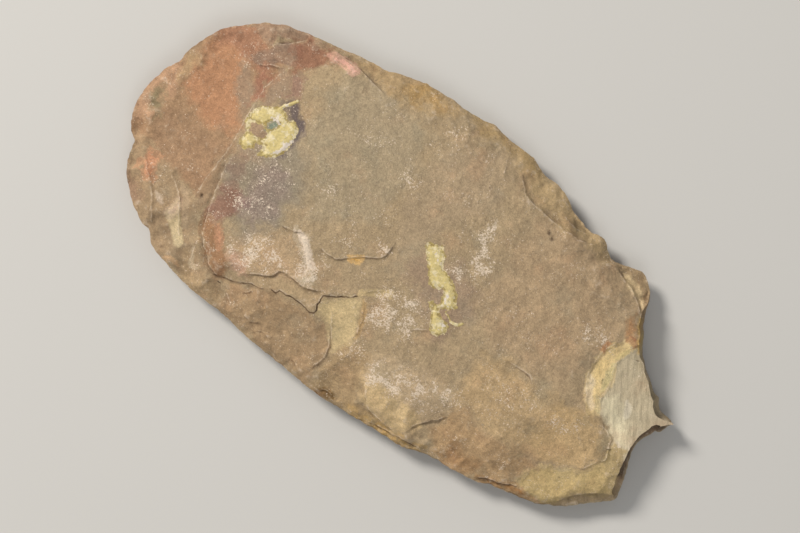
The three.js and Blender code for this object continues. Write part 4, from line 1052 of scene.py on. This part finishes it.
def stoneMaterial():
    made = bpy.data.materials.new("weathered_chert")
    made.use_nodes = True
    tree, looks = made.node_tree, stoneLooks
    tree.nodes.clear()
    place = addNode(tree, "ShaderNodeTexCoord").outputs["Object"]

    def known(name, output="Fac"):
        settings = {"attribute_name": name, "attribute_type": "GEOMETRY"}
        return addNode(tree, "ShaderNodeAttribute", settings).outputs[output]

    def times(a, b):
        return reckon(tree, "MULTIPLY", a, b)

    def timesPlus(a, b, c):
        return reckon(tree, "MULTIPLY_ADD", a, b, c)

    # Over is a colour's name in the looks, or another node's output.
    def mix(share, under, over, kind="MIX"):
        over = rgba(looks[over]) if isinstance(over, str) else over
        settings = {"data_type": "RGBA", "blend_type": kind}
        return addNode(tree, "ShaderNodeMix", settings, i0=share, i6=under, i7=over).outputs[2]

    def group(tool, **inputs):
        return addNode(tree, "ShaderNodeGroup", {"node_tree": tool}, Vector=place, **inputs).outputs[0]

    def speckled(scale, amount, softness):
        return group(specks, Scale=scale, Amount=amount, Softness=softness)

    def bordered(distance, begin, end, raggedness, scale):
        return group(ragged, Distance=distance, From=begin, To=end, Ragged=raggedness, Scale=scale)

    shade = known("stoneColour", "Color")
    hue = cloud(tree, place, *looks["hue"])
    shade = mix(ramp(tree, hue, 0.52, 0.7, 0.0, 0.22), shade, "warm")
    shade = mix(ramp(tree, hue, 0.48, 0.3, 0.0, 0.2), shade, "cool")
    fresh, crust, plain = known("fresh"), known("crust"), shade
    for scale, strength in looks["mottleScales"]:
        shade = group(mottle, Color=shade, Scale=scale, Strength=strength)
    shade = mix(times(fresh, 0.75), shade, plain)
    grain = cloud(tree, place, 2300.0, 2.0, 0.7)
    grit = addNode(tree, "ShaderNodeMapRange", Value=grain, From_Min=0.3, From_Max=0.7,
                   To_Min=1 - looks["grit"], To_Max=1 + looks["grit"]).outputs[0]
    shade = addNode(tree, "ShaderNodeVectorMath", {"operation": "SCALE"}, i0=shade, Scale=grit).outputs[0]
    scale, amount, softness, strength = looks["charSpecks"]
    charred = speckled(scale, times(known("char"), amount), softness)
    shade = mix(times(charred, strength), shade, "darkSpeck")
    *dots, strength = looks["darkSpecks"]
    shade = mix(times(speckled(*dots), strength), shade, "darkSpeck")
    scale, amount, softness, strength = looks["whiteFilm"]
    film = speckled(scale, times(crust, amount), softness)
    shade = mix(times(film, strength), shade, "white")
    scale, amount, softness, strength = looks["whitePoints"]
    points = speckled(scale, timesPlus(crust, amount, 0.18), softness)
    shade = mix(times(points, strength), shade, "white")
    # Painted highlight: white mixed in along the lit high side of each step.
    shade = mix(times(bordered(known("lit"), *looks["litRidge"]), 0.34), shade, "white")
    # Painted shade: hollows found from the relief are darkened towards the crevice colour.
    low, high, strength = looks["hollowShade"]
    shade = mix(ramp(tree, known("hollow"), low, high, 0.0, strength), shade, "crevice", "MULTIPLY")
    # Ridges between hollows are lightened in specks: partly pale worn ridges, partly painted highlight on
    # the edges.
    low, high, strength = looks["ridgeWearAndHighlight"]
    wornAndLit = ramp(tree, known("hollow"), low, high, 0.0, strength)
    shade = mix(times(wornAndLit, speckled(260.0, 0.75, 0.2)), shade, "white")
    # Painted shade: a thin dark line in each crevice, as strong as its seam.
    shade = mix(times(bordered(known("crevice"), *looks["creviceShadeLine"]), known("seam")), shade, "crevice")

    depth = known("residue")
    # The residue's border goes to olive: partly its own olive outline, partly painted shade where its
    # raised edge meets the stone.
    yellow = mix(bordered(depth, *looks["residueHeart"]), rgba(looks["residueOliveAndShade"]), "residue")
    yellow = mix(times(speckled(300.0, 0.85, 0.12), 0.9), yellow, "residuePale")
    yellow = group(mottle, Color=yellow, Scale=700.0, Strength=0.8)
    patchy, flecks = speckled(420.0, times(known("white"), 1.1), 0.1), speckled(500.0, 0.4, 0.1)
    yellow = mix(reckon(tree, "MAXIMUM", times(patchy, 0.85), times(flecks, 0.6)), yellow, "residueWhite")
    shade = mix(bordered(depth, *looks["residueCoat"]), shade, yellow)

    turn, stretch = (0, 0, math.radians(looks["fibreTurn"])), (1.0, looks["fibreLength"], 1.0)
    turned = addNode(tree, "ShaderNodeMapping", {"vector_type": "TEXTURE"}, Vector=place, Rotation=turn,
                     Scale=stretch)
    threads = cloud(tree, turned.outputs[0], 850.0, 3.0, 0.6)
    fine, coarse = cloud(tree, place, 1500.0, 5.0, 0.7), cloud(tree, place, 330.0, 4.0, 0.65)
    chips = addNode(tree, "ShaderNodeTexVoronoi", {"feature": "F1"}, Vector=place, Scale=380.0)
    height = timesPlus(coarse, 0.8, timesPlus(chips.outputs["Distance"], 0.5, fine))
    height = timesPlus(times(threads, fresh), 2.2, height)
    bump = addNode(tree, "ShaderNodeBump", Strength=times(timesPlus(fresh, -0.55, 1.0), looks["bump"]),
                   Distance=looks["bumpHeight"], Height=height)
    dull = timesPlus(fresh, looks["freshRoughness"] - looks["roughness"], looks["roughness"])
    face = addNode(tree, "ShaderNodeBsdfPrincipled", Base_Color=shade, Roughness=dull,
                   Normal=bump.outputs[0], Specular_IOR_Level=looks["specular"])
    addNode(tree, "ShaderNodeOutputMaterial", Surface=face.outputs[0])
    layOut(tree)
    return made


# The worked edge as a curve at the rim's height, a little inside it. The retouch follows it.
def addRimPath():
    inset = 3.6
    worked = curveThrough(asPath(workedEdge)[::-1], 3.0)
    places = worked * (1 - inset / np.hypot(*worked.T))[:, None]
    heights = rimHeight(np.arctan2(places[:, 1], places[:, 0]))
    curve = bpy.data.curves.new("rimPath", "CURVE")
    curve.dimensions = "3D"
    line = curve.splines.new("POLY")
    line.points.add(len(worked) - 1)
    rows = np.column_stack([places * mm, heights * mm, np.ones(len(worked))])
    line.points.foreach_set("co", rows.ravel())
    made = bpy.data.objects.new("rimPath", curve)
    bpy.context.scene.collection.objects.link(made)
    return made


knapping = {  # metres
    "Rim": addRimPath(),
    "Pitch": 0.0066,
    "Reach": 0.0052,
    "Depth": 0.00085,
    "Grain height": 0.00022,
    "Pit depth": 0.0003,
    "Seed": 3,
    "Stone": stoneMaterial(),
}
modifier = blade.modifiers.new("knapping", "NODES")
modifier.node_group = knapGroup()
for item in modifier.node_group.interface.items_tree:
    if item.in_out == "INPUT" and item.name in knapping:
        modifier[item.identifier] = knapping[item.name]
bpy.context.view_layer.update()
finished = bpy.data.meshes.new_from_object(blade.evaluated_get(bpy.context.evaluated_depsgraph_get()))
blade.modifiers.clear()
blade.data = finished
bpy.data.objects.remove(knapping["Rim"])
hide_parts("blade")
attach(blade, "root")
print("stone knapped:", len(finished.polygons), "triangles")

studio = {
    "floor": (205, 201, 194),
    "floorRoughness": 0.9,
    "air": (0.95, 0.97, 1.0, 1.0),
    "airStrength": 0.34,
    # name: bearing in degrees, height, distance and size in metres, watts, colour
    "lights": {"key": (172, 1.75, 2.05, 0.8, 66.0, (1.0, 0.98, 0.95)),
               "fill": (-50, 2.2, 1.4, 1.6, 10.0, (0.96, 0.98, 1.0))},
    "cameraHeight": 1.2,
    "focusHeight": 0.016,
    "turn": 37.0,
    "aim": (-0.6, -4.5),  # millimetres
    "width": 0.4,
}


def floorMaterial():
    made = bpy.data.materials.new("studio_floor")
    made.use_nodes = True
    inputs = made.node_tree.nodes["Principled BSDF"].inputs
    inputs["Base Color"].default_value = rgba(studio["floor"])
    inputs["Roughness"].default_value = studio["floorRoughness"]
    return made


def addLight(name, turn, height, away, size, power, colour):
    light = bpy.data.lights.new(name, "AREA")
    light.shape, light.size, light.energy, light.color = "DISK", size, power, colour
    holder = bpy.data.objects.new(name, light)
    bearing = math.radians(turn)
    holder.location = (away * math.cos(bearing), away * math.sin(bearing), height)
    holder.rotation_euler = (-holder.location).to_track_quat("-Z", "Y").to_euler()
    bpy.context.scene.collection.objects.link(holder)


def buildStudio():
    scene = bpy.context.scene
    bpy.ops.mesh.primitive_plane_add(size=8, location=(0, 0, 0))
    floor = bpy.context.object
    floor.name = "studio_floor"
    floor.data.materials.append(floorMaterial())
    scene.world = bpy.data.worlds.new("studio")
    scene.world.use_nodes = True
    background = scene.world.node_tree.nodes["Background"].inputs
    background["Color"].default_value = studio["air"]
    background["Strength"].default_value = studio["airStrength"]
    for name, values in studio["lights"].items():
        addLight(name, *values)
    lens = bpy.data.cameras.new("camera")
    lens.sensor_width = 36
    lens.lens = lens.sensor_width * (studio["cameraHeight"] - studio["focusHeight"]) / studio["width"]
    camera = bpy.data.objects.new("camera", lens)
    camera.location = (studio["aim"][0] * mm, studio["aim"][1] * mm, studio["cameraHeight"])
    camera.rotation_euler = (0, 0, math.radians(studio["turn"]))
    scene.collection.objects.link(camera)
    scene.camera = camera
    scene.view_settings.view_transform = "Standard"


buildStudio()
print("studio set")
